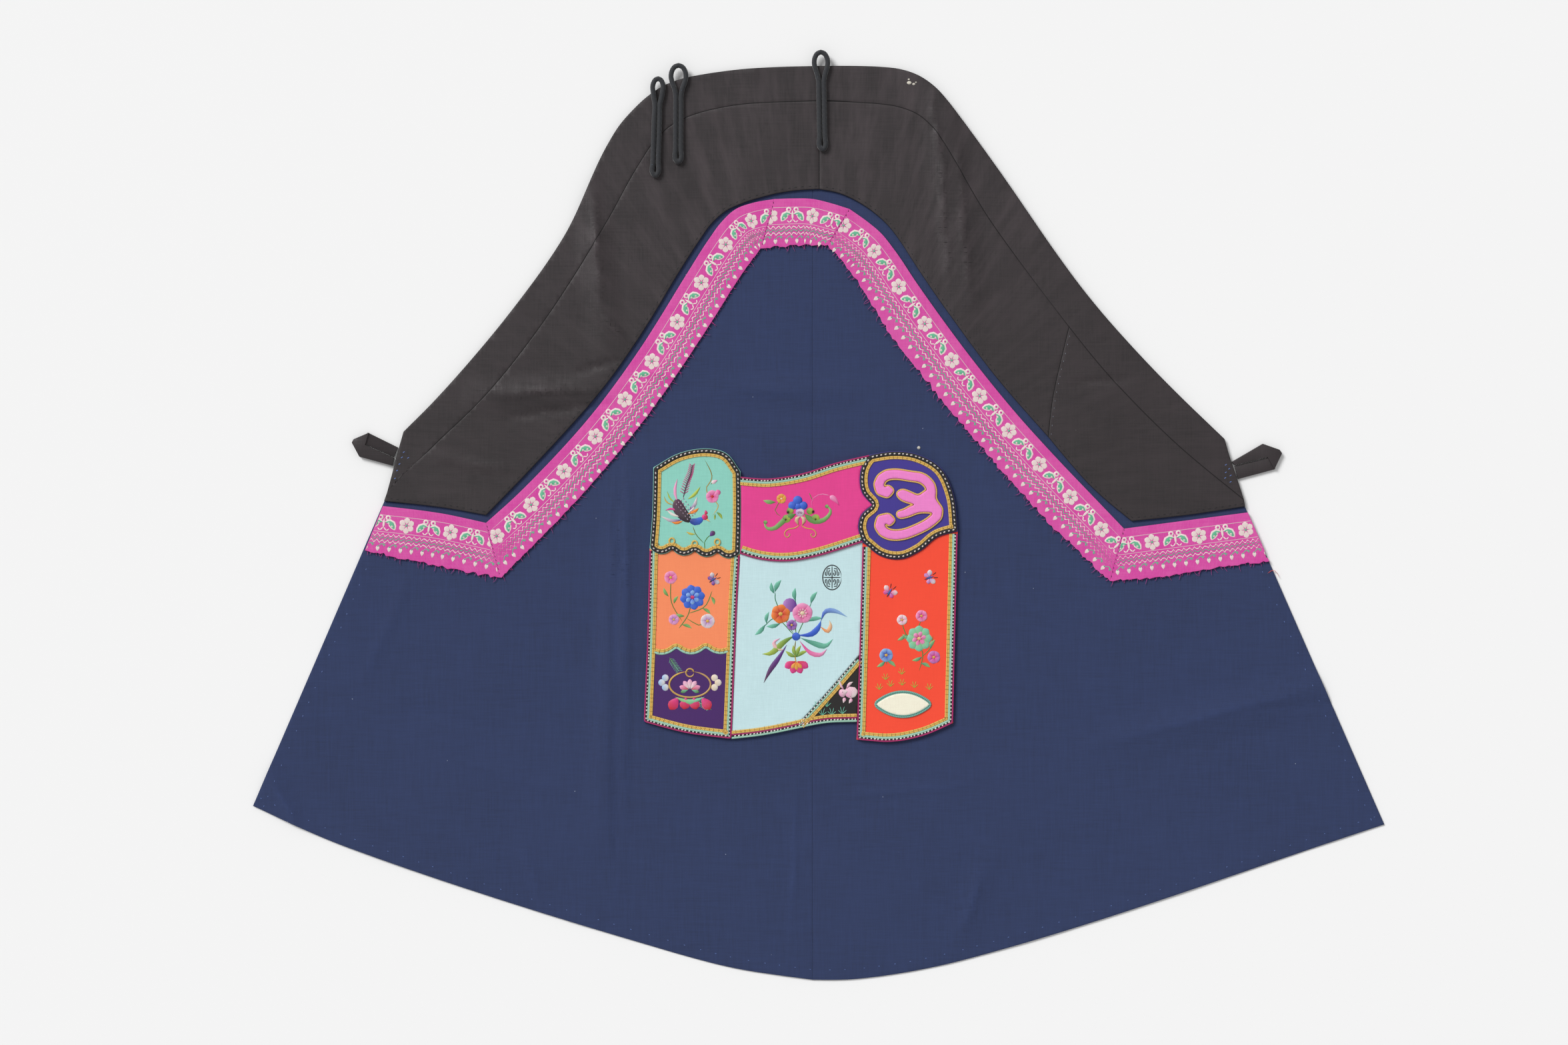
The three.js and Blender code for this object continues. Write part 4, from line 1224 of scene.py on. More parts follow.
class APRON_OT_ribbon(Maker):
    """Makes the woven ribbon in five mitred lengths, with its flowers, waves and frayed edge"""

    bl_idname = "apron.ribbon"
    bl_label = "Woven ribbon"

    def execute(self, context):
        cell = as_mm(sizes().ribbon_cell)
        for node, first, repeat in RIBBON_REPEATS:
            rail = Rail(node)
            points = self.frayed(smooth_outline(node, cell), rail)
            cloth = laid_cloth(points, cell, RAW_RIM, RIBBON_FACE, over_patch)
            layer = cloth.loops.layers.uv.new("ribbon")
            for vert in cloth.verts:
                place = rail.measure(vert.co.xy)
                for loop in vert.link_loops:
                    loop[layer].uv = place
            piece = finish_piece(cloth, f"{node}_cloth", ribbon_cloth(), [node])
            self.weave(node, rail, first, repeat)
            self.fray(node, rail)
        return {"FINISHED"}

    def frayed(self, points, rail):
        """The outline with its lower edge made ragged."""
        ragged = []
        for point in points:
            _, down = rail.measure(point)
            if down > 20:
                wild = noise.noise(Vector((point.x / 2.1, point.y / 2.1, 5))) * 1.5
                point = point + Vector((wild * 0.5, wild))
            ragged.append(point)
        return ragged

    def weave(self, node, rail, first, repeat):
        pale, green = tuple(colours().ribbon_pale), tuple(colours().ribbon_green)
        height = as_mm(sizes().brocade_height)
        low, high = -12, rail.length + 12
        sew = Stitching(RIBBON_FACE, rail.point)
        number = math.floor((low - first) / repeat)
        while first + number * repeat < high:
            along = first + number * repeat
            self.flower(sew, along, pale, green, height)
            self.butterfly(sew, along + repeat / 2, pale, green, height)
            number += 1
        for down in (ROW["line"], ROW["second_line"]):
            sew.stem([(low, down), (high, down)], 0.28, shaded(pale, 0.8), height=height * 0.6, along=120)
        for down, colour in zip(ROW["waves"], (pale, green, pale)):
            self.wave(sew, low, high, down, colour, height)
        self.berries(sew, low, high, pale, green, height)
        for batch in sew.filled:
            self.trim_ends(batch, rail)
        sew.finish(f"{node}_pattern", stitched_silk(), "pink_ribbon")

    def flower(self, sew, along, pale, green, height):
        down = ROW["flower"]
        root = shaded(pale, 0.9)
        for petal in range(6):
            sew.ray(along, down, 60 * petal + 30, 0.6, 4.1, 3.5, root, pale, height=height, along=6, around=6)
        sew.disc(along, down, 1.3, green, height=height * 1.3, **COARSE)

    def butterfly(self, sew, along, pale, green, height):
        """Two ringed feelers, a pale body, drooping green wings with spots, and curled tails."""
        down = ROW["flower"]
        pink = tuple(colours().ribbon)
        body = [(along, down - 2.8), (along, down + 2.8)]
        sew.shape(body, 1.4, pale, profile="leaf", height=height * 1.6, along=5, around=6)
        for side in (-1, 1):
            wing, inner, curl = (
                [(along + side * out, down + lower) for out, lower in line]
                for line in (
                    ((0.3, -0.9), (3.4, -0.7), (6, 2.9)),
                    ((0.7, -0.7), (3.4, -0.5), (5.6, 2.5)),
                    ((0.3, 2), (1.6, 3.5), (2.9, 2.5)),
                )
            )
            eye = along + side * 1.9
            sew.disc(eye, down - 3, 2.8, pale, height=height, along=5)
            sew.disc(eye, down - 3, 1.4, pink, height=height * 1.7, **COARSE)
            sew.shape(wing, 3.8, pale, profile="petal", height=height * 0.9, along=7)
            sew.shape(inner, 2.9, green, profile="petal", height=height * 1.4, along=7)
            for out, lower in ((2.5, -0.3), (4.3, 1.1)):
                sew.disc(along + side * out, down + lower, 1.3, pale, height=height * 1.9, **COARSE)
                sew.disc(along + side * out, down + lower, 0.6, pink, height=height * 2.2, **COARSE)
            sew.stem(curl, 0.65, pale, height=height, along=5)

    def wave(self, sew, low, high, down, colour, height):
        count = round((high - low) / (WAVE_LENGTH / 2))
        places = ((low + index * WAVE_LENGTH / 2, (-1) ** index) for index in range(count))
        knots = [(along, down - WAVE_HEIGHT * side) for along, side in places]
        sew.stem(knots, 0.62, colour, height=height * 1.2, along=count * 2)

    def berries(self, sew, low, high, pale, green, height):
        count = math.ceil((high - low) / BERRY_GAP)
        for index in range(count):
            along = low + index * BERRY_GAP
            down = ROW["berry"]
            berry = [(along, down - 1.1), (along, down + 1.5)]
            sew.shape(berry, 2.3, pale, shaded(pale, 0.92), "drop", height, along=5, around=6)
            sew.disc(along, down - 1, 0.9, green, height=height * 1.3, **COARSE)
            stalk = [(along + 0.3, down - 1.2), (along + 1.9, down - 2.5), (along + 4.2, down - 2)]
            sew.stem(stalk, 0.5, green, height=height * 0.7, along=6)
            leaf = [(along + 2.4, down - 2.2), (along + 3.6, down - 1.2)]
            sew.shape(leaf, 0.8, green, height=height, **COARSE)

    def trim_ends(self, bm, rail):
        """Cuts the pattern at the mitres."""
        ends = ((rail.upper[0], rail.lower[0], 1), (rail.upper[-1], rail.lower[-1], -1))
        for top, bottom, sign in ends:
            way = (bottom - top).normalized()
            normal = Vector((way.y, -way.x, 0)) * sign
            if normal.dot(Vector((*(rail.point(rail.length / 2, 10) - top), 0))) > 0:
                normal.negate()
            inside = Vector((*top, 0)) - normal * 0.3
            cut = bmesh.ops.bisect_plane(
                bm, geom=bm.verts[:] + bm.edges[:] + bm.faces[:], dist=0.001,
                plane_co=inside, plane_no=normal, clear_outer=True,
            )["geom_cut"]
            edges = [part for part in cut if isinstance(part, bmesh.types.BMEdge)]
            bmesh.ops.holes_fill(bm, edges=edges, sides=0)

    def fray(self, node, rail):
        """Loose threads at the raw lower edge."""
        chance = random.Random(len(node) * 7)
        pink = tuple(colours().ribbon)
        longest = as_mm(sizes().fray_length)
        threads = Stitching(FRONT_FACE + 0.7)
        line = smooth_line(rail.lower, 2.2)
        for start, end in zip(line, line[1:]):
            foot = start.lerp(end, chance.random())
            way = (end - start).normalized()
            out = Vector((way.y, -way.x))
            lean = way * chance.uniform(-0.9, 0.9)
            reach = chance.uniform(0.8, longest) if chance.random() < 0.7 else longest * 1.4
            tip = foot + (out + lean).normalized() * reach
            middle = foot.lerp(tip, 0.5) + way * chance.uniform(-0.5, 0.5)
            threads.shape([foot - out * 0.8, middle, tip], 0.26, pink, shaded(pink, 1.2), "tail", 0.2,
                          along=5, around=5, crosswise=False)
        if node != RIBBONS[0]:
            mitre = [rail.lower[0], rail.upper[0]]
            sewn_row(threads, mitre, 2.2, DARK_STITCH, (1.3, 0.4, 0.75), len(node), slant=0.3)
        threads.finish(f"{node}_fray", stitched_silk(), "pink_ribbon")


# Cord loops: top and foot of each, the width of its eye and where its legs meet
CORD_LOOPS = (
    ("loop_left", (-80.8, 221.1), (-82.4, 169.9), 7.8, 12.5),
    ("loop_second", (-70.6, 227.8), (-70.8, 176.7), 10, 15.2),
    ("loop_middle", (1, 234.5), (1.9, 183.1), 9.3, 14.6),
)


class APRON_OT_loops(Maker):
    """Makes the three rolled cord loops at the neck"""

    bl_idname = "apron.loops"
    bl_label = "Cord loops"

    def execute(self, context):
        width = as_mm(sizes().cord_width)
        for name, top, foot, eye_width, eye_foot in CORD_LOOPS:
            line = self.loop_line(Vector(top), Vector(foot), eye_width, eye_foot, width)
            cord = swept(line, width, width, YOKE_FACE + LAYER_GAP + width / 2, closed=True, sides=6)
            finish_piece(cord, f"{name}_cord", rolled_cotton(), [name])
        return {"FINISHED"}

    def loop_line(self, top, foot, eye_width, eye_foot, width):
        """Up one leg, round the eye, down the other leg and round the foot."""
        down = (foot - top).normalized()
        side = Vector((-down.y, down.x))
        leg = width * 0.54
        half = (eye_width - width) / 2
        length = (foot - top).length
        rise = eye_foot * 0.36
        halves = [
            (half * math.sin(turn), width / 2 + rise * (1 - math.cos(turn)))
            for turn in (math.radians(angle) for angle in (0, 30, 60, 90, 115))
        ]
        halves += [(leg * 1.4, eye_foot * 0.88), (leg, eye_foot * 1.08)]
        halves += [(leg, length * share) for share in (0.42, 0.56, 0.7, 0.84)]
        halves += [(leg, length - width), (leg * 0.6, length - width * 0.62), (0, length - width / 2)]
        right = [top + down * depth + side * out for out, depth in halves]
        left = [top + down * depth - side * out for out, depth in halves[-2:0:-1]]
        return smooth_line(right + left + right[:1], 0.8)[:-1]


SHARP_TURN = math.radians(30)


class APRON_OT_tabs(Maker):
    """Makes the folded strap tab at each side"""

    bl_idname = "apron.tabs"
    bl_label = "Side tabs"

    def execute(self, context):
        for side in ("left", "right"):
            bm = copy_of(f"tab_{side}")
            bmesh.ops.dissolve_limit(bm, angle_limit=math.radians(2), verts=bm.verts[:], edges=bm.edges[:])
            sharp = [edge for edge in bm.edges if edge.is_manifold and edge.calc_face_angle() > SHARP_TURN]
            bmesh.ops.bevel(
                bm, geom=sharp, offset=0.4, segments=3, profile=0.5, affect="EDGES", material=-1,
                clamp_overlap=True,
            )
            bmesh.ops.triangulate(bm, faces=[face for face in bm.faces if len(face.verts) > 4])
            worn_and_highlit = bm.verts.layers.float.new("wear")
            for vert in bm.verts:
                vert[worn_and_highlit] = 0.25 * max(0, noise.noise(vert.co * 0.8))
            finish_piece(bm, f"tab_{side}_strap", glazed_cotton(), [f"tab_{side}"])
        return {"FINISHED"}


# Pocket patches: slot, face height, colour setting and how rubbed the silk is
PATCHES = (
    ("pocket_teal", "teal_silk", TOP_PATCH_FACE, "teal", 0.4),
    ("pocket_indigo", "indigo_silk", TOP_PATCH_FACE, "indigo", 0.3),
    ("pocket_banner", "magenta_silk", TOP_PATCH_FACE, "magenta", 0.45),
    ("pocket_orange", "orange_silk", PATCH_FACE, "orange", 0.3),
    ("pocket_purple", "purple_silk", PATCH_FACE, "purple", 0.3),
    ("pocket_panel", "pale_blue_silk", PATCH_FACE, "pale_blue", 0.25),
    ("pocket_corner", "black_silk", PATCH_FACE, "night", 0.2),
    ("pocket_red", "red_silk", PATCH_FACE, "red", 0.25),
)


class APRON_OT_patches(Maker):
    """Makes the silk patches of the pocket"""

    bl_idname = "apron.patches"
    bl_label = "Pocket patches"

    def execute(self, context):
        cell = as_mm(sizes().patch_cell)
        for node, slot, face, setting, rubbing in PATCHES:
            points = smooth_outline(node, cell)
            cloth = laid_cloth(points, cell, PATCH_RIM, face, over_patch)
            piece = finish_piece(cloth, f"{node}_cloth", silk(setting, rubbing), [node])
        return {"FINISHED"}


# Corners of the patches that the edgings run between
TEAL_FOOT_LEFT, TEAL_FOOT_RIGHT, TEAL_TOP_RIGHT = (-85.2, -16.6), (-39.7, -19.4), (-39.4, 19.4)
ORANGE_FOOT_LEFT, ORANGE_FOOT_RIGHT = (-86.7, -64), (-42.2, -68)
STRIP_FOOT_RIGHT = (-43.9, -112.8)
BANNER_TOP_RIGHT, BANNER_FOOT_RIGHT = (25.6, 30.4), (22.1, -13.6)
SLANT_FOOT, SLANT_TOP, PANEL_FOOT_RIGHT = (-13.2, -108.1), (20.6, -70.2), (19.3, -104.2)
RED_TOP_LEFT, RED_TOP_RIGHT = (22.1, -13.6), (70.1, -8.2)

# Strands of each kind of edging, from the patch's edge inwards: kind, distance, width, height
BRAIDED = (("black", 1.25, 2.1, 0.9), ("gold", 2.8, 0.85, 0.6), ("gold", 3.6, 0.85, 0.6))
PIPED = (
    ("piping", 0.25, 0.75, 0.8), ("black", 1.05, 1, 0.5), ("mint", 1.95, 1.2, 0.5),
    ("gold", 2.95, 0.85, 0.6), ("gold", 3.75, 0.85, 0.6),
)
FOOTED = (
    ("mint", 0.35, 1, 0.6), ("black", 1.15, 0.9, 0.5), ("piping", 1.9, 0.6, 0.5),
    ("gold", 2.75, 0.85, 0.6), ("gold", 3.55, 0.85, 0.6),
)
SLANTED = (("black", 0.4, 0.5, 0.5), ("mint", 1.2, 1, 0.5), ("gold", 2.2, 0.85, 0.6),
           ("gold", 3, 0.85, 0.6))
SCALLOPED = (("mint", -0.1, 1.1, 0.6), ("gold", 0.95, 0.85, 0.6), ("gold", 1.75, 0.85, 0.6))
# The inner gold thread of a pair lies further in than this, and the couching is sewn over it
INNER_GOLD = 3.4


class APRON_OT_edgings(Maker):
    """Makes the braid, piping, mint strip and couched gold round the patches"""

    bl_idname = "apron.edgings"
    bl_label = "Braid and couched gold"

    def execute(self, context):
        self.strands = {"gold": [], "black": [], "mint": [], "piping": []}
        self.dashes = {face: Stitching(face) for face in (TOP_PATCH_FACE, PATCH_FACE)}
        for node in ("pocket_teal", "pocket_indigo"):
            self.edge(smooth_outline(node, 0.9), BRAIDED, TOP_PATCH_FACE, closed=True)
        strip = (
            run("pocket_orange", TEAL_FOOT_LEFT, ORANGE_FOOT_LEFT)[1:]
            + run("pocket_purple", ORANGE_FOOT_LEFT, ORANGE_FOOT_RIGHT)
            + run("pocket_orange", ORANGE_FOOT_RIGHT, TEAL_FOOT_RIGHT)[:-1]
        )
        self.edge(strip, PIPED, PATCH_FACE)
        self.edge(run("pocket_orange", ORANGE_FOOT_LEFT, ORANGE_FOOT_RIGHT)[4:-4], SCALLOPED, PATCH_FACE)
        for ends in ((BANNER_TOP_RIGHT, TEAL_TOP_RIGHT), (TEAL_FOOT_RIGHT, BANNER_FOOT_RIGHT)):
            self.edge(run("pocket_banner", *ends), PIPED, TOP_PATCH_FACE)
        foot = run("pocket_panel", STRIP_FOOT_RIGHT, SLANT_FOOT)
        foot += run("pocket_corner", SLANT_FOOT, PANEL_FOOT_RIGHT)[1:]
        self.edge(foot, FOOTED, PATCH_FACE)
        self.edge(run("pocket_corner", SLANT_TOP, SLANT_FOOT)[2:-4], SLANTED, PATCH_FACE)
        self.edge(run("pocket_red", RED_TOP_LEFT, RED_TOP_RIGHT)[2:-1], PIPED, PATCH_FACE)
        self.gold_loops()
        self.finish_strands()
        return {"FINISHED"}

    def edge(self, line, kind, face, closed=False):
        """Lays each strand of an edging and sews it down."""
        for strand, distance, width, height in kind:
            path = relaxed(offset(line, distance, closed), closed)
            self.strands[strand].append(swept(path, width, height, face + height * 0.3, closed))
            if closed:
                path = path + path[:1]
            if strand == "black":
                self.dash(path, face, width, height)
            if strand == "gold" and (distance > INNER_GOLD or kind in (SLANTED, SCALLOPED)):
                self.couch(path, face, width, height)

    def dash(self, path, face, width, height):
        """Cream dashes down the middle of a black braid."""
        gap = 2.1 if width > 2 else 1.8
        size = (1.3, 0.95, height * 1.3) if width > 2 else (1.05, 0.85, height * 1.6)
        sewn_row(self.dashes[face], path, gap, "white", size, 5, slant=0.25)

    def couch(self, path, face, width, height):
        """Short stitches across the pair of gold threads."""
        outer = offset(path, -width / 2)
        brown = shaded(colours().gold, 0.5)
        sewn_row(self.dashes[face], outer, 2.3, brown, (2, 0.34, height * 1.15), 6, slant=math.pi / 2)

    def gold_loops(self):
        """Round gold loops where the teal patch's scallops meet."""
        for x, y in ((-74, -13), (-62.5, -14.4), (-51.1, -13.5)):
            ring = oval_ring(x, y, 1.35, 1.5, 14)
            self.strands["gold"].append(swept(ring, 0.8, 0.7, TOP_PATCH_FACE + 0.35, closed=True))

    def finish_strands(self):
        gold = joined(self.strands["gold"])
        finish_piece(gold, "couched_gold", gold_thread(), [
            "edging_teal", "edging_indigo", "edging_strip", "edging_scallops", "edging_banner_top",
            "edging_banner_foot", "edging_panel", "edging_corner", "edging_red",
        ])
        cords = (
            ("black", "Black braid", rgb(24, 22, 24), 0.9),
            ("mint", "Mint strip", tuple(colours().mint), 0.5),
            ("piping", "Magenta piping", rgb(176, 26, 104), 0.6),
        )
        for strand, label, colour, thread in cords:
            name = label.lower().replace(" ", "_")
            material = plain_cord(label, colour, thread)
            finish_piece(joined(self.strands[strand]), name, material)
        self.dashes[TOP_PATCH_FACE].finish("braid_dashes_upper", stitched_silk(), "couched_gold")
        self.dashes[PATCH_FACE].finish("braid_dashes_lower", stitched_silk(), "couched_gold")


def relaxed(path, closed, rounds=2):
    """A line with its kinks eased."""
    for _ in range(rounds):
        count = len(path)
        eased = []
        for index, point in enumerate(path):
            if not closed and index in (0, count - 1):
                eased.append(point)
            else:
                eased.append((path[index - 1] + point * 2 + path[(index + 1) % count]) / 4)
        path = eased
    return path


class APRON_OT_applique(Maker):
    """Makes the pink cloud and the cream lens with their couched outlines"""

    bl_idname = "apron.applique"
    bl_label = "Cloud and lens"

    def execute(self, context):
        prongs = [smooth_line([Vector(knot) for knot in knots], 0.8) for knots in PRONGS]
        cloud = merged([smooth_outline("pocket_cloud", 0.8), *prongs])
        self.lay("cloud", cloud, 0.9, TOP_PATCH_FACE, 1.1, silk("lilac", 0.3), "lilac_pink_silk",
                 "pocket_indigo_cloth")
        rim = self.cord(cloud, 0.45, 0.85, 0.7, TOP_PATCH_FACE + 0.35)
        finish_piece(rim, "cloud_gold", gold_thread())
        lens = self.pointed(smooth_outline("pocket_lens", 0.8))
        self.lay("lens", lens, 1, PATCH_FACE, 0.9, silk("cream", 0.2), "cream_silk", "pocket_red_cloth")
        rims = [self.cord(lens, 1, 1, 0.8, PATCH_FACE + 0.35),
                self.cord(lens, 0.2, 0.5, 0.6, PATCH_FACE + 0.5)]
        mint = plain_cord("Lens cord", rgb(112, 172, 160), 0.9)
        finish_piece(joined(rims), "lens_cord", mint, ["edging_lens"])
        return {"FINISHED"}

    def lay(self, name, points, cell, ground, height, material, slot, under):
        """Lays a padded shape on a patch."""
        cloth = laid_cloth(
            points, cell, PATCH_RIM, ground + height, lambda x, y, level: ground + 0.15 + level,
        )
        piece = finish_piece(cloth, f"{name}_applique", material, [f"pocket_{name}"])

    def cord(self, points, outside, width, height, level):
        """A cord round a shape, a distance outside it."""
        return swept(relaxed(offset(points, -outside, closed=True), True), width, height, level, closed=True)

    def pointed(self, oval):
        """An oval drawn in to a blunt point at each end."""
        left, right = min(point.x for point in oval), max(point.x for point in oval)
        middle = sum(oval, Vector((0, 0))) / len(oval)
        half = (right - left) / 2
        drawn = []
        for point in oval:
            share = min(abs(point.x - (left + right) / 2) / half, 1)
            if share < 0.965 or share > 0.999:
                drawn.append(Vector((point.x, middle.y + (point.y - middle.y) * (1 - share**2) ** 0.3)))
        return drawn


# The two prongs inside the cloud, each from where it leaves the band and back to it
PRONGS = (
    ((58.2, 12.6), (54, 12.2), (50.2, 9.8), (46, 11.4), (41.4, 12.6), (39.4, 11), (41, 8.4),
     (46.4, 6.2), (51, 4.6), (58.4, 5.6)),
    ((59.2, 5.8), (51.8, 5.6), (46.8, 4.6), (42.6, 2.4), (39.4, 1.2), (40, -0.9), (44.6, -0.6),
     (50, 1.4), (59, 1.4)),
)


class APRON_OT_embroidery(Maker):
    """Embroiders the silk patches"""

    bl_idname = "apron.embroidery"
    bl_label = "Embroidery"

    def execute(self, context):
        upper = Stitching(TOP_PATCH_FACE, puff=0.6)
        lower = Stitching(PATCH_FACE, puff=0.6)
        self.bird(upper)
        self.bat(upper)
        self.orange_spray(lower)
        self.purple_lotus(lower)
        self.bouquet(lower)
        self.corner_rabbit(lower)
        self.red_garden(lower)
        upper.finish("embroidery_upper", stitched_silk(), "teal_silk")
        lower.finish("embroidery_lower", stitched_silk(), "pale_blue_silk")
        return {"FINISHED"}

    def bird(self, sew):
        """A long-tailed bird and a peony branch on the teal patch."""
        spine = [(-68.5, 8), (-66.5, 15.5), (-64.6, 20.5), (-63.6, 25.6)]
        sew.stem(spine, 0.7, "plum", height=0.5)
        for number in range(15):
            share = 0.12 + number * 0.058
            root = spline_point([Vector(point) for point in spine], share)
            for side in (-1, 1):
                tip = root + Vector((side * (2.3 - share * 0.9), 1.5))
                sew.stem([root, tip], 0.45, "plum", "rose", height=0.3, along=4)
        plumes = (
            ((-71, 6), (-72.5, 12), (-71.2, 18.5), 1.6, "pale_pink"),
            ((-66, 8), (-62.5, 10.5), (-59.6, 14.4), 1.7, "lime"),
            ((-72, 6), (-75, 8.5), (-76.4, 12.2), 0.8, "lime"),
            ((-73, 5), (-76.5, 6.5), (-78, 9.6), 0.7, "gold"),
            ((-65.5, 2.4), (-62.6, 5), (-61.3, 9.4), 1.9, "violet"),
            ((-65.6, 1.6), (-63.4, 3.2), (-62.6, 6.4), 1.5, "white"),
            ((-66.2, 0.6), (-62.6, 1.8), (-60.4, 3.6), 1.7, "orange"),
            ((-68.6, -2.2), (-74, -2.9), (-79.8, -0.4), 1.8, "violet"),
            ((-69.6, -0.8), (-73.4, 0.2), (-76.6, 2.6), 1.5, "white"),
            ((-68.4, -3), (-71.6, -3.9), (-74.6, -3.2), 1.6, "orange"),
            ((-70, 1.5), (-74, 3.2), (-77.4, 2.4), 1.2, "rose"),
        )
        for *points, width, colour in plumes:
            sew.shape(points, width, colour, "white" if colour == "violet" else None, "leaf", 0.55)
        sew.shape([(-71.6, 8.2), (-70, 2.4), (-64.6, -3.4)], 6.2, "plum", "black", "round", 0.7, along=9)
        for row in range(6):
            for number in range(4):
                x = -71.6 + row * 1.12 + number * 1.15
                y = 5.4 - row * 1.5 + number * 1
                sew.shape([(x - 0.3, y + 0.45), (x + 0.2, y - 0.45)], 0.75, "white", "lilac", "drop", 0.95,
                          **COARSE)
        sew.shape([(-65.2, -2.6), (-61.6, -3.4), (-58.2, -1.4)], 3.7, "navy", "blue", "round", 0.7)
        sew.disc(-57.4, -1, 3.1, "rose", "red", 0.8)
        sew.shape([(-56.6, 0.4), (-57, 2.6)], 1.7, "red", "rose", "drop", 0.6)
        sew.shape([(-56.6, -2), (-54.6, -3.4)], 1.1, "gold", "cream", "tail", 0.6)
        sew.disc(-57.4, -0.8, 0.6, "black", height=1, **COARSE)
        branch = ((-57.6, 28.2), (-54.4, 22), (-54, 18), (-56.8, 13), (-53.2, 8), (-50.6, 4.6), (-53.6, -0.4))
        sew.stem(branch, 0.5, "olive", "gold")
        sew.stem([(-54.4, 15.6), (-52.8, 16.8)], 0.45, "olive")
        sew.shape([(-54, 16.2), (-51, 17.6)], 2, "white", "pale_pink", "drop", 0.6)
        sew.blossom(-53.6, 9.4, 6.6, 5, "rose", "pale_pink", "red", turn=20)
        sew.shape([(-52.4, 10.4), (-49.6, 12.2)], 3, "pale_pink", "rose", "petal", 0.7)
        sew.leaf(-51.6, 1.6, -50, 4.8, 1.5, "leaf", "lime", 0.5)
        sew.leaf(-52.2, 0.6, -95, 3, 1, "leaf", "lime")
        sew.stem([(-63.4, -5.6), (-61.8, -9.8), (-57.8, -14.2)], 0.45, "olive", "leaf")
        sew.stem([(-57.8, -14.2), (-56.2, -11.4), (-54.4, -10)], 0.45, "leaf")
        sew.shape([(-55, -10.6), (-52.4, -8.2)], 2.7, "violet", "plum", "petal", 0.7)
        sew.leaf(-62, -9.6, 165, 5, 1.2, "lime", "gold", 0.5)
        sew.stem([(-57.6, -13.4), (-57.4, -17)], 0.45, "leaf")

    def bat(self, sew):
        """Scrolled green wings round a blue flower on the banner, with a sprig on each side."""
        left = ((-11.5, 0.6), (-16.5, -1.8), (-21.8, -6.4), (-26, -6.6), (-27.6, -3.4))
        right = ((-7.2, 0.6), (-2.6, -3), (2.6, -2.4), (6, 1.6), (4.4, 4.9))
        for points, hook in ((left, (-26.9, -3.6)), (right, (4.1, 4.4))):
            sew.shape(points, 3.4, "leaf", "pale_green", "tail", 0.75, along=14)
            sew.disc(*hook, 2, "leaf", "pale_green", 0.8)
        for x, y, width in ((-14.4, 2.2, 3.6), (-16.2, -1.8, 4.2), (-4.4, 2, 3.6), (-1.6, -1.6, 4.2)):
            sew.disc(x, y, width, "leaf", "lime", 0.8)
        for x, y in ((-15.4, 1.6), (-16.6, -2.2), (-3, 1.8), (-1.6, -2)):
            for turn in range(0, 180, 45):
                way = heading(turn)
                sew.stem([Vector((x, y)) - way, Vector((x, y)) + way], 0.28, "black", height=1.05, along=4)
        for x, y, size in ((-13.2, 4.8, 4.4), (-7.8, 4.8, 4.4), (-10.6, 7.4, 4.8), (-10.4, 4.4, 3.8)):
            sew.disc(x, y, size, "blue", "royal", 0.95)
        sew.disc(-9.5, 1.4, 4.6, "lilac", "white", 1.15)
        sew.rays(-9.5, 0.6, range(30, 160, 30), 0.2, 1.7, 0.4, "plum", height=1.4, profile="stem")
        for side in (-1, 1):
            drop, curl = (
                [(-9.3 + side * out, y) for out, y in line]
                for line in (
                    ((0, -0.6), (1.9, -2.2), (0.9, -5.2)),
                    ((0, -4.6), (2.6, -6.4), (6.4, -7.2), (8, -9.4), (6.6, -11.2), (5.2, -9.8), (6.6, -9.2)),
                )
            )
            sew.shape(drop, 2.2, "cream", "tan", height=0.9)
            sew.stem(curl, 0.6, "gold", "tan", height=0.5, along=24)
        sew.stem([(-19, -0.8), (-22, 2), (-20.6, 5.4), (-19, 8)], 0.42, "olive")
        sew.blossom(-18.8, 8.3, 5, 5, "orange", "gold", "cream", turn=12)
        sew.leaf(-21.6, 6.6, 172, 6.6, 2.2, "leaf", "pale_green", 0.5)
        sew.stem([(-3, 2.8), (-3.4, 7.6), (0.8, 10.6), (5.8, 9.8)], 0.42, "rose", "pale_pink")
        sew.stem([(-3.2, 7.6), (-4.8, 11.2)], 0.4, "leaf")
        sew.shape([(5.6, 9.6), (8, 8), (10.4, 4.8)], 2.7, "pale_pink", "rose", "drop", 0.75)

    def orange_spray(self, sew):
        """A blue peony with lilac and pink flowers on the orange silk."""
        sew.stem([(-70.6, -57.2), (-66, -50.6), (-64, -43.4)], 0.55, "leaf", "olive")
        sew.stem([(-68.8, -53.6), (-74.2, -44), (-74.6, -33)], 0.5, "olive", "leaf")
        sew.stem([(-65.6, -49.6), (-57.4, -46), (-53.6, -38)], 0.5, "leaf")
        sew.rays(-63.6, -41.4, range(10, 370, 45), 0.8, 6.4, 4.6, "royal", "blue", height=0.7)
        sew.rays(-63.6, -41.4, range(30, 390, 60), 0.4, 3.8, 3, "blue", "pale_blue", height=1)
        sew.disc(-63.6, -41.4, 2.2, "red", "rose", 1.3)
        for x, y, size, colour, tip in ((-74.6, -31.4, 6.6, "rose", "pale_pink"),
                                        (-56, -53.4, 7.4, "lilac", "white"),
                                        (-73, -52.6, 5.4, "lilac", "pale_pink")):
            sew.blossom(x, y, size, 5, colour, tip, "gold", turn=70)
        sew.stem([(-66.6, -52), (-60.6, -55.4), (-57.4, -54.4)], 0.45, "leaf")
        leaves = ((-75.6, -41, 120, 5.2), (-73, -44.6, 60, 4.4), (-69, -55.2, -20, 5.4), (-58.6, -47, -35, 5),
                  (-67.6, -50.8, 165, 4.6), (-60, -44.4, 70, 4.2), (-54.2, -41, -70, 4.4))
        for x, y, turn, length in leaves:
            sew.leaf(x, y, turn, length, 1.7, "leaf", "pale_green", 0.5)
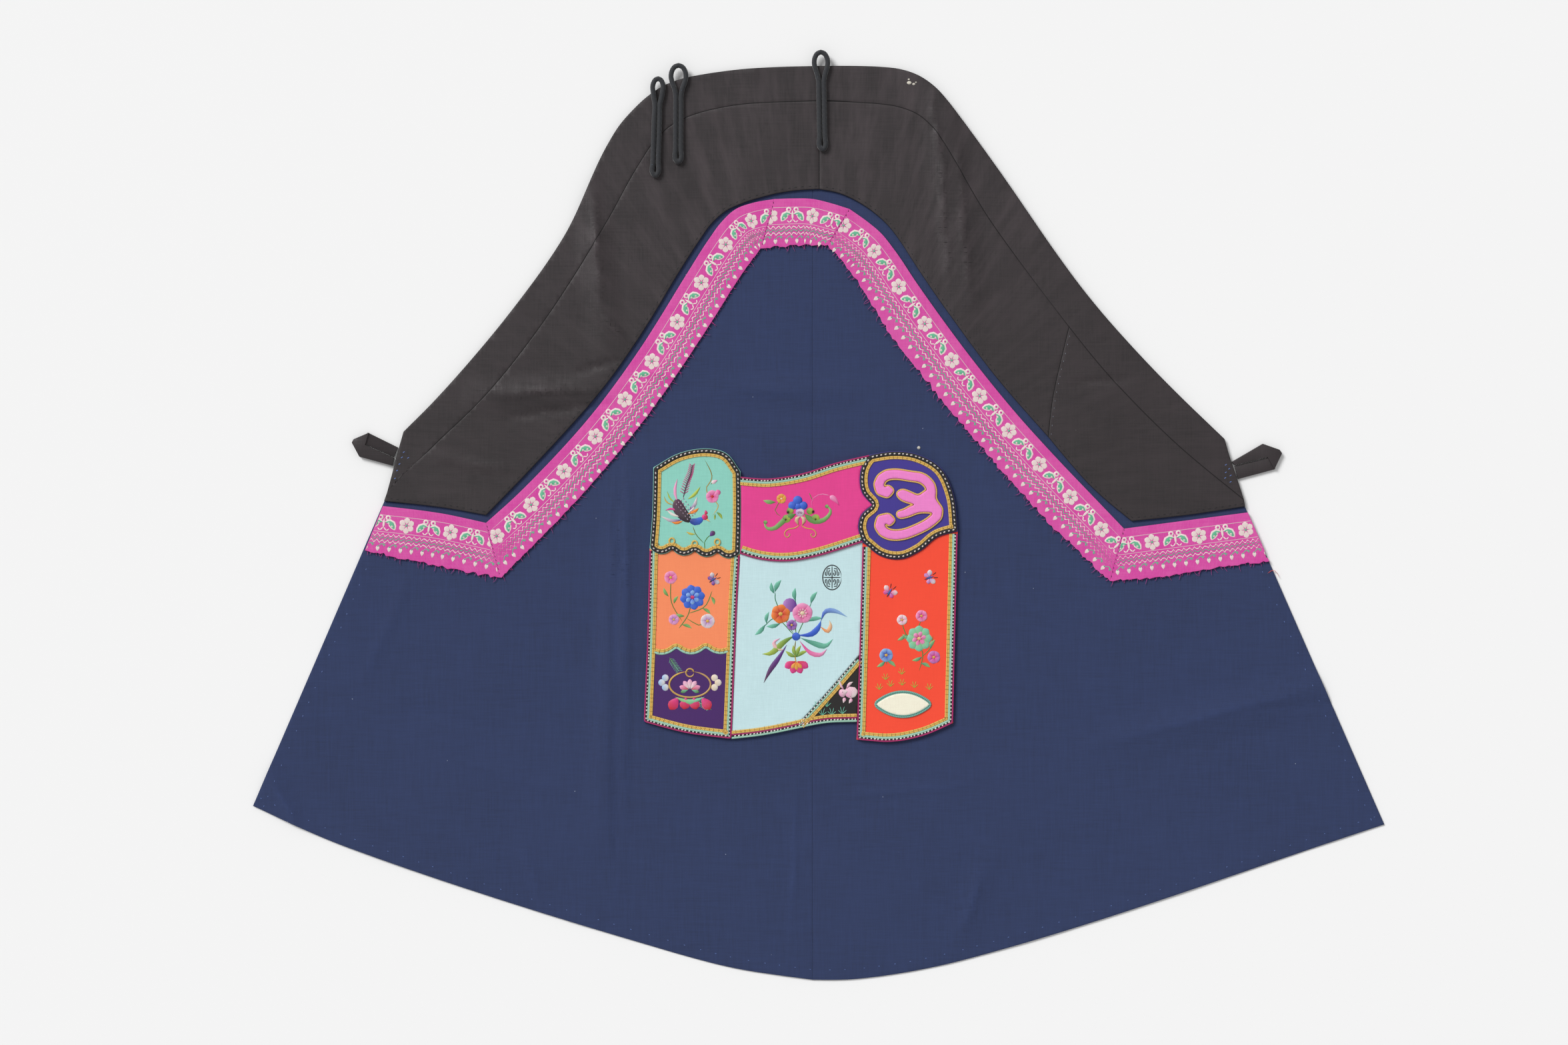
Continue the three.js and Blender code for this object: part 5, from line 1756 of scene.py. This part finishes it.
        self.butterfly(sew, -53.4, -32.6, 6.8, 35, "violet", "lilac")

    def purple_lotus(self, sew):
        """A lotus in a gold-corded oval, with sprigs, on the purple silk."""
        oval = oval_ring(-64.9, -85.3, 10.4, 6.5, 28, start=1.57)
        sew.stem(oval + oval[:1], 0.95, "gold", "tan", height=0.7, along=84)
        loop = oval_ring(-64.9, -79.4, 2, 2, 14)
        sew.stem(loop + loop[:1], 0.8, "gold", "tan", height=0.7, along=30)
        for turn in (20, 55, 90, 125, 160):
            sew.ray(-64.9, -88.2, turn, 0.6, 5.6, 2.6, "red" if turn in (20, 160) else "white", "pale_pink",
                    height=0.6)
        sew.rays(-64.9, -87.6, (200, 340), 0.6, 5, 1.9, "mint", "leaf", height=0.5)
        for side, colour in ((-1, "pale_blue"), (1, "cream")):
            for out, rise in ((12.4, 2.4), (14.2, 0), (12.4, -2.4)):
                sew.disc(-64.9 + side * out, -84.4 + rise, 3.5, colour, "white", 0.6)
        sew.shape([(-72.6, -91.6), (-64.9, -94.2), (-57.2, -91.6)], 2.7, "pale_green", "mint", "leaf", 0.7,
                  along=10)
        for x, turn, length in ((-70.6, 235, 6.4), (-66.8, 260, 5), (-63, 280, 5), (-59.2, 305, 6.4)):
            sew.ray(x, -91.6, turn, 0, length + 1.4, 5.4, "rose", "red", height=0.6)
        for x, y, turn in ((-75.4, -71.6, -55), (-53.8, -98.2, 150)):
            self.sprig(sew, x, y, turn, 9, "mint")

    def bouquet(self, sew):
        """Tied flowers with ribbons, a lower spray and a round fret on the pale blue silk."""
        stems = (((-22, -38.6), (-21, -45), (-12, -61)), ((-28.4, -56.8), (-21.4, -52), (-12, -61)),
                 ((-3.4, -43.4), (-7, -52), (-11, -61)), ((-11.6, -41), (-12, -50), (-11.4, -61)))
        for points in stems:
            sew.stem(points, 0.5, "teal", "leaf")
        leaves = ((-22.2, -38.8, 62, 7, 2.5), (-22.4, -39.6, 105, 6, 2.1), (-27, -55.2, 225, 7.4, 2.3),
                  (-26.4, -54.6, 78, 6, 2), (-11.8, -43.2, 90, 6.6, 2.3), (-4, -44.6, 62, 6.8, 2.3),
                  (-6, -53.6, 12, 8.2, 2.3), (-19.4, -54.6, 192, 7.2, 2.2))
        for x, y, turn, length, width in leaves:
            sew.leaf(x, y, turn, length, width, "teal", "mint", 0.6, 0.5)
        sew.disc(-14.6, -45.4, 7.2, "lilac", "violet", 0.5)
        for x, y, size, petals, colour, tip, heart in (
            (-19.2, -49.8, 9.8, 6, "red", "orange", "gold"),
            (-8.2, -49.4, 10.4, 5, "rose", "pale_pink", "cream"),
            (-13.6, -55.4, 5.4, 5, "violet", "lilac", "gold"),
        ):
            sew.blossom(x, y, size, petals, colour, tip, heart, turn=18, height=0.8)
        sew.rays(-8.2, -49.4, range(0, 360, 40), 1, 2.9, 1.5, "white", "rose", height=1.15)
        bands = (((-12, -60.6), (-17.6, -64), (-23.6, -69.4), (-28.6, -70), 3, "leaf", "lime"),
                 ((-11, -60.6), (-4.2, -60.2), (-0.4, -57), (1.2, -53), 3, "royal", "blue"),
                 ((1, -53.4), (3.4, -48.6), (8.4, -48.4), (14.6, -51.4), 2.5, "royal", "pale_blue"),
                 ((-9.4, -61.8), (-2.6, -64.6), (3.2, -66), (7.2, -62.4), 2.9, "teal", "mint"),
                 ((-9.8, -63.2), (-4.6, -69.2), (0.8, -70.4), (4.2, -67.4), 2.4, "rose", "pale_pink"),
                 ((0.6, -56), (4.2, -58.6), (6, -56), (5.4, -53), 2.2, "orange", "cream"),
                 ((-16, -65.2), (-20.6, -72.6), (-24.4, -78), (-27.8, -84.6), 2.7, "violet", "plum"),
                 ((-19.4, -62), (-22.6, -64.2), (-20.8, -67.4), (-17, -68), 2, "pale_pink", "cream"))
        for *points, width, colour, tip in bands:
            sew.shape(points, width, colour, tip, "leaf", 0.65, along=12)
        sew.disc(-11.4, -61.2, 4.2, "royal", "blue", 1)
        sew.stem([(-11.6, -63), (-12.2, -69), (-11.2, -75.6)], 0.6, "olive", "gold", height=0.4)
        sew.rays(-11.2, -73.4, (210, 250, 290, 330), 0.4, 6.8, 4, "red", "rose", height=0.7)
        sew.rays(-11.2, -73.8, (235, 270, 305), 0.2, 4.4, 2.8, "orange", "gold", height=0.95)
        for turn in (150, 30, 105, 70):
            sew.leaf(-11.2, -71.6, turn, 6.4, 2, "leaf", "lime", 0.5, 0.5)
        self.fret(sew, 6.7, -31.4, 9.4, 12.4)

    def fret(self, sew, x, y, width, height):
        """A plain geometric fret of four keys in an oval ring."""
        ring = oval_ring(x, y, width / 2, height / 2, 24)
        sew.stem(ring + ring[:1], 0.55, "black", height=0.4, along=60)
        key = ((0.09, 0.36), (0.27, 0.36), (0.27, 0.09), (0.36, 0.09), (0.36, 0.24))
        inner = ((0.09, 0.27), (0.18, 0.27), (0.18, 0.09), (0.09, 0.09), (0.09, 0.2))
        lines = [[(x, y - height / 2), (x, y + height / 2)], [(x - width / 2, y), (x + width / 2, y)]]
        for side in (-1, 1):
            for end in (-1, 1):
                for corner in (key, inner):
                    lines.append([(x + side * across * width, y + end * up * height) for across,
                                  up in corner])
        for line in lines:
            for start, end in zip(line, line[1:]):
                sew.stem([start, end], 0.5, "black", height=0.4, along=5)

    def corner_rabbit(self, sew):
        """A rabbit and grass on the black corner."""
        fur, tip = "pale_pink", "white"
        sew.shape([(13.4, -90.6), (16.4, -89.4), (18.7, -91.2)], 6.2, fur, tip, "round", 0.9, along=9)
        sew.shape([(10.2, -90.3), (14.9, -88.7)], 4.2, fur, tip, "drop", 1.2)
        for points in (((12.7, -88), (11, -85.6), (10.6, -82.4)),
                       ((13.9, -87.6), (15.4, -85.2), (17.4, -84))):
            sew.shape(points, 1.6, fur, tip, "leaf", 1)
        for points in (((13.2, -92), (12.4, -94.8)), ((16.8, -92.6), (15.2, -95))):
            sew.shape(points, 1.8, fur, tip, "drop", 0.8)
        sew.disc(12, -89.2, 0.6, "plum", height=1.7, **COARSE)
        for x, y in ((-0.7, -95.9), (4.1, -95), (-3.2, -99.6), (1.9, -99.4), (6.6, -99.2), (11.9, -98.6)):
            self.tuft(sew, x, y - 1.6, 3.4, "mint")

    def red_garden(self, sew):
        """Butterflies over a flowering spray and grass on the red strip."""
        self.butterfly(sew, 35.6, -39, 7.6, 60, "rose", "lilac")
        self.butterfly(sew, 55.6, -31.6, 7.4, 20, "lilac", "pale_pink")
        sew.stem([(50.6, -78.6), (52.4, -70), (49.4, -61), (51.6, -52.6)], 0.6, "olive", "leaf")
        sew.stem([(51.8, -71.6), (56.6, -66.6), (57.6, -60.6)], 0.5, "leaf")
        sew.stem([(50.4, -65.6), (44.4, -60.6), (42, -54.6)], 0.5, "leaf")
        sew.rays(50.6, -62.2, range(0, 360, 45), 0.8, 6.6, 4.8, "pale_green", "mint", height=0.7)
        sew.rays(50.6, -62.2, range(15, 375, 60), 0.4, 3.8, 3, "rose", "pale_pink", height=1)
        sew.disc(50.6, -62.2, 2.1, "gold", "cream", 1.3)
        for x, y, size, colour, tip in ((51.8, -50.8, 6, "rose", "pale_pink"),
                                        (42, -52.8, 5.4, "pale_pink", "white"),
                                        (58, -71.6, 6.6, "rose", "lilac"),
                                        (34, -70.6, 7, "royal", "pale_blue")):
            sew.blossom(x, y, size, 5, colour, tip, "gold", turn=40, height=0.7)
        for x, y, turn in ((52, -71.4, 200), (51.4, -74.6, -25), (46.8, -62.6, 150), (56, -67.4, 60),
                           (44, -60, 215), (33.6, -73.4, 215), (34.4, -73.4, -35)):
            sew.leaf(x, y, turn, 5.4, 1.9, "teal", "pale_green", 0.5, 0.5)
        sew.stem([(34, -71), (34.2, -75.4)], 0.5, "olive")
        for x, y in ((41.8, -78.9), (33.7, -81.6), (42, -84.4), (36.2, -85), (30.5, -86.6), (48.2, -85.6),
                     (55.7, -86.6)):
            self.tuft(sew, x, y - 1.4, 3, "lime")

    def butterfly(self, sew, x, y, size, turn, wing, lower):
        """Four wings, a dark body and two feelers."""
        for side in (-1, 1):
            sew.ray(x, y, turn + side * 62, 0.2, size * 0.56, size * 0.36, wing, "white", height=0.7)
            sew.ray(x, y, turn + side * 118, 0.2, size * 0.42, size * 0.3, lower, wing, height=0.65)
            sew.ray(x, y, turn + side * 18, size * 0.3, size * 0.62, 0.35, "black", profile="stem",
                    height=0.4)
        sew.ray(x, y, turn, -size * 0.34, size * 0.34, size * 0.15, "black", "blue", "leaf", 0.95)

    def sprig(self, sew, x, y, turn, length, colour):
        """A stalk with needles on both sides."""
        way = heading(turn)
        start = Vector((x, y))
        sew.stem([start, start + way * length], 0.4, "leaf", colour)
        for number in range(8):
            root = start + way * length * (0.1 + number * 0.11)
            for side in (-1, 1):
                lean = Vector((way.x + way.y * side, way.y - way.x * side)).normalized()
                sew.stem([root, root + lean * length * 0.26], 0.28, "leaf", colour, along=4)

    def tuft(self, sew, x, y, size, colour):
        """Four blades of grass from one root."""
        for turn, share in ((42, 0.85), (74, 1.15), (106, 1.15), (138, 0.85)):
            sew.ray(x, y, turn, 0, size * share, 0.3, colour, colour, "stem", 0.4, along=4, around=5)


CAMERA_SPOT = (-0.0175, -0.0037)
LIGHT_WAY = (0.62, -0.62, -0.72)


class APRON_OT_stage(Maker):
    """Makes the pale floor, the soft light and the camera straight above"""

    bl_idname = "apron.stage"
    bl_label = "Floor, light and camera"

    def execute(self, context):
        stage = context.scene.apron_stage
        self.make_floor()
        self.make_light(stage)
        self.make_camera(context.scene, stage)
        return {"FINISHED"}

    def make_floor(self):
        bm = bmesh.new()
        bmesh.ops.create_grid(bm, x_segments=1, y_segments=1, size=3)
        bmesh.ops.translate(bm, vec=(0, 0, -0.05 * MM), verts=bm.verts)
        mesh = bpy.data.meshes.new("floor")
        bm.to_mesh(mesh)
        bm.free()
        nodes = new_material("Pale floor", roughness=0.9, base_color=(0.9, 0.9, 0.9, 1))
        mesh.materials.append(nodes.material)
        placed("floor", mesh)

    def make_light(self, stage):
        lamp = bpy.data.lights.new("soft lamp", "SUN")
        lamp.energy = stage.lamp_power
        lamp.angle = math.radians(24)
        holder = placed("soft lamp", lamp)
        holder.rotation_euler = Vector(LIGHT_WAY).to_track_quat("-Z", "Y").to_euler()
        world = bpy.data.worlds.new("studio")
        world.use_nodes = True
        world.node_tree.nodes["Background"].inputs["Color"].default_value = (1, 1, 1, 1)
        world.node_tree.nodes["Background"].inputs["Strength"].default_value = stage.sky
        bpy.context.scene.world = world

    def make_camera(self, scene, stage):
        data = bpy.data.cameras.new("camera")
        data.lens = stage.lens
        data.sensor_width = 36
        camera = placed("camera", data)
        camera.location = (*CAMERA_SPOT, stage.height)
        scene.camera = camera
        scene.view_settings.view_transform = "Standard"


STEPS = (
    APRON_OT_fronts, APRON_OT_yoke, APRON_OT_ribbon, APRON_OT_loops, APRON_OT_tabs,
    APRON_OT_patches, APRON_OT_edgings, APRON_OT_applique, APRON_OT_embroidery, APRON_OT_stage,
)


class APRON_PT_pieces(bpy.types.Panel):
    """Lists the steps that make the apron"""

    bl_idname = "APRON_PT_pieces"
    bl_label = "Apron"
    bl_space_type = "VIEW_3D"
    bl_region_type = "UI"
    bl_category = "Apron"

    def draw(self, context):
        for step in STEPS:
            self.layout.operator(step.bl_idname)


GROUPS = (("apron_sizes", ApronSizes), ("apron_colours", ApronColours), ("apron_stage", StageSettings))


def register():
    for name, group in GROUPS:
        bpy.utils.register_class(group)
        setattr(bpy.types.Scene, name, bpy.props.PointerProperty(type=group))
    for each in (*STEPS, APRON_PT_pieces):
        bpy.utils.register_class(each)


def unregister():
    for each in (APRON_PT_pieces, *reversed(STEPS)):
        bpy.utils.unregister_class(each)
    for name, group in reversed(GROUPS):
        delattr(bpy.types.Scene, name)
        bpy.utils.unregister_class(group)


def main():
    register()
    for step in STEPS:
        group, name = step.bl_idname.split(".")
        getattr(getattr(bpy.ops, group), name)()


if __name__ == "__main__":
    main()
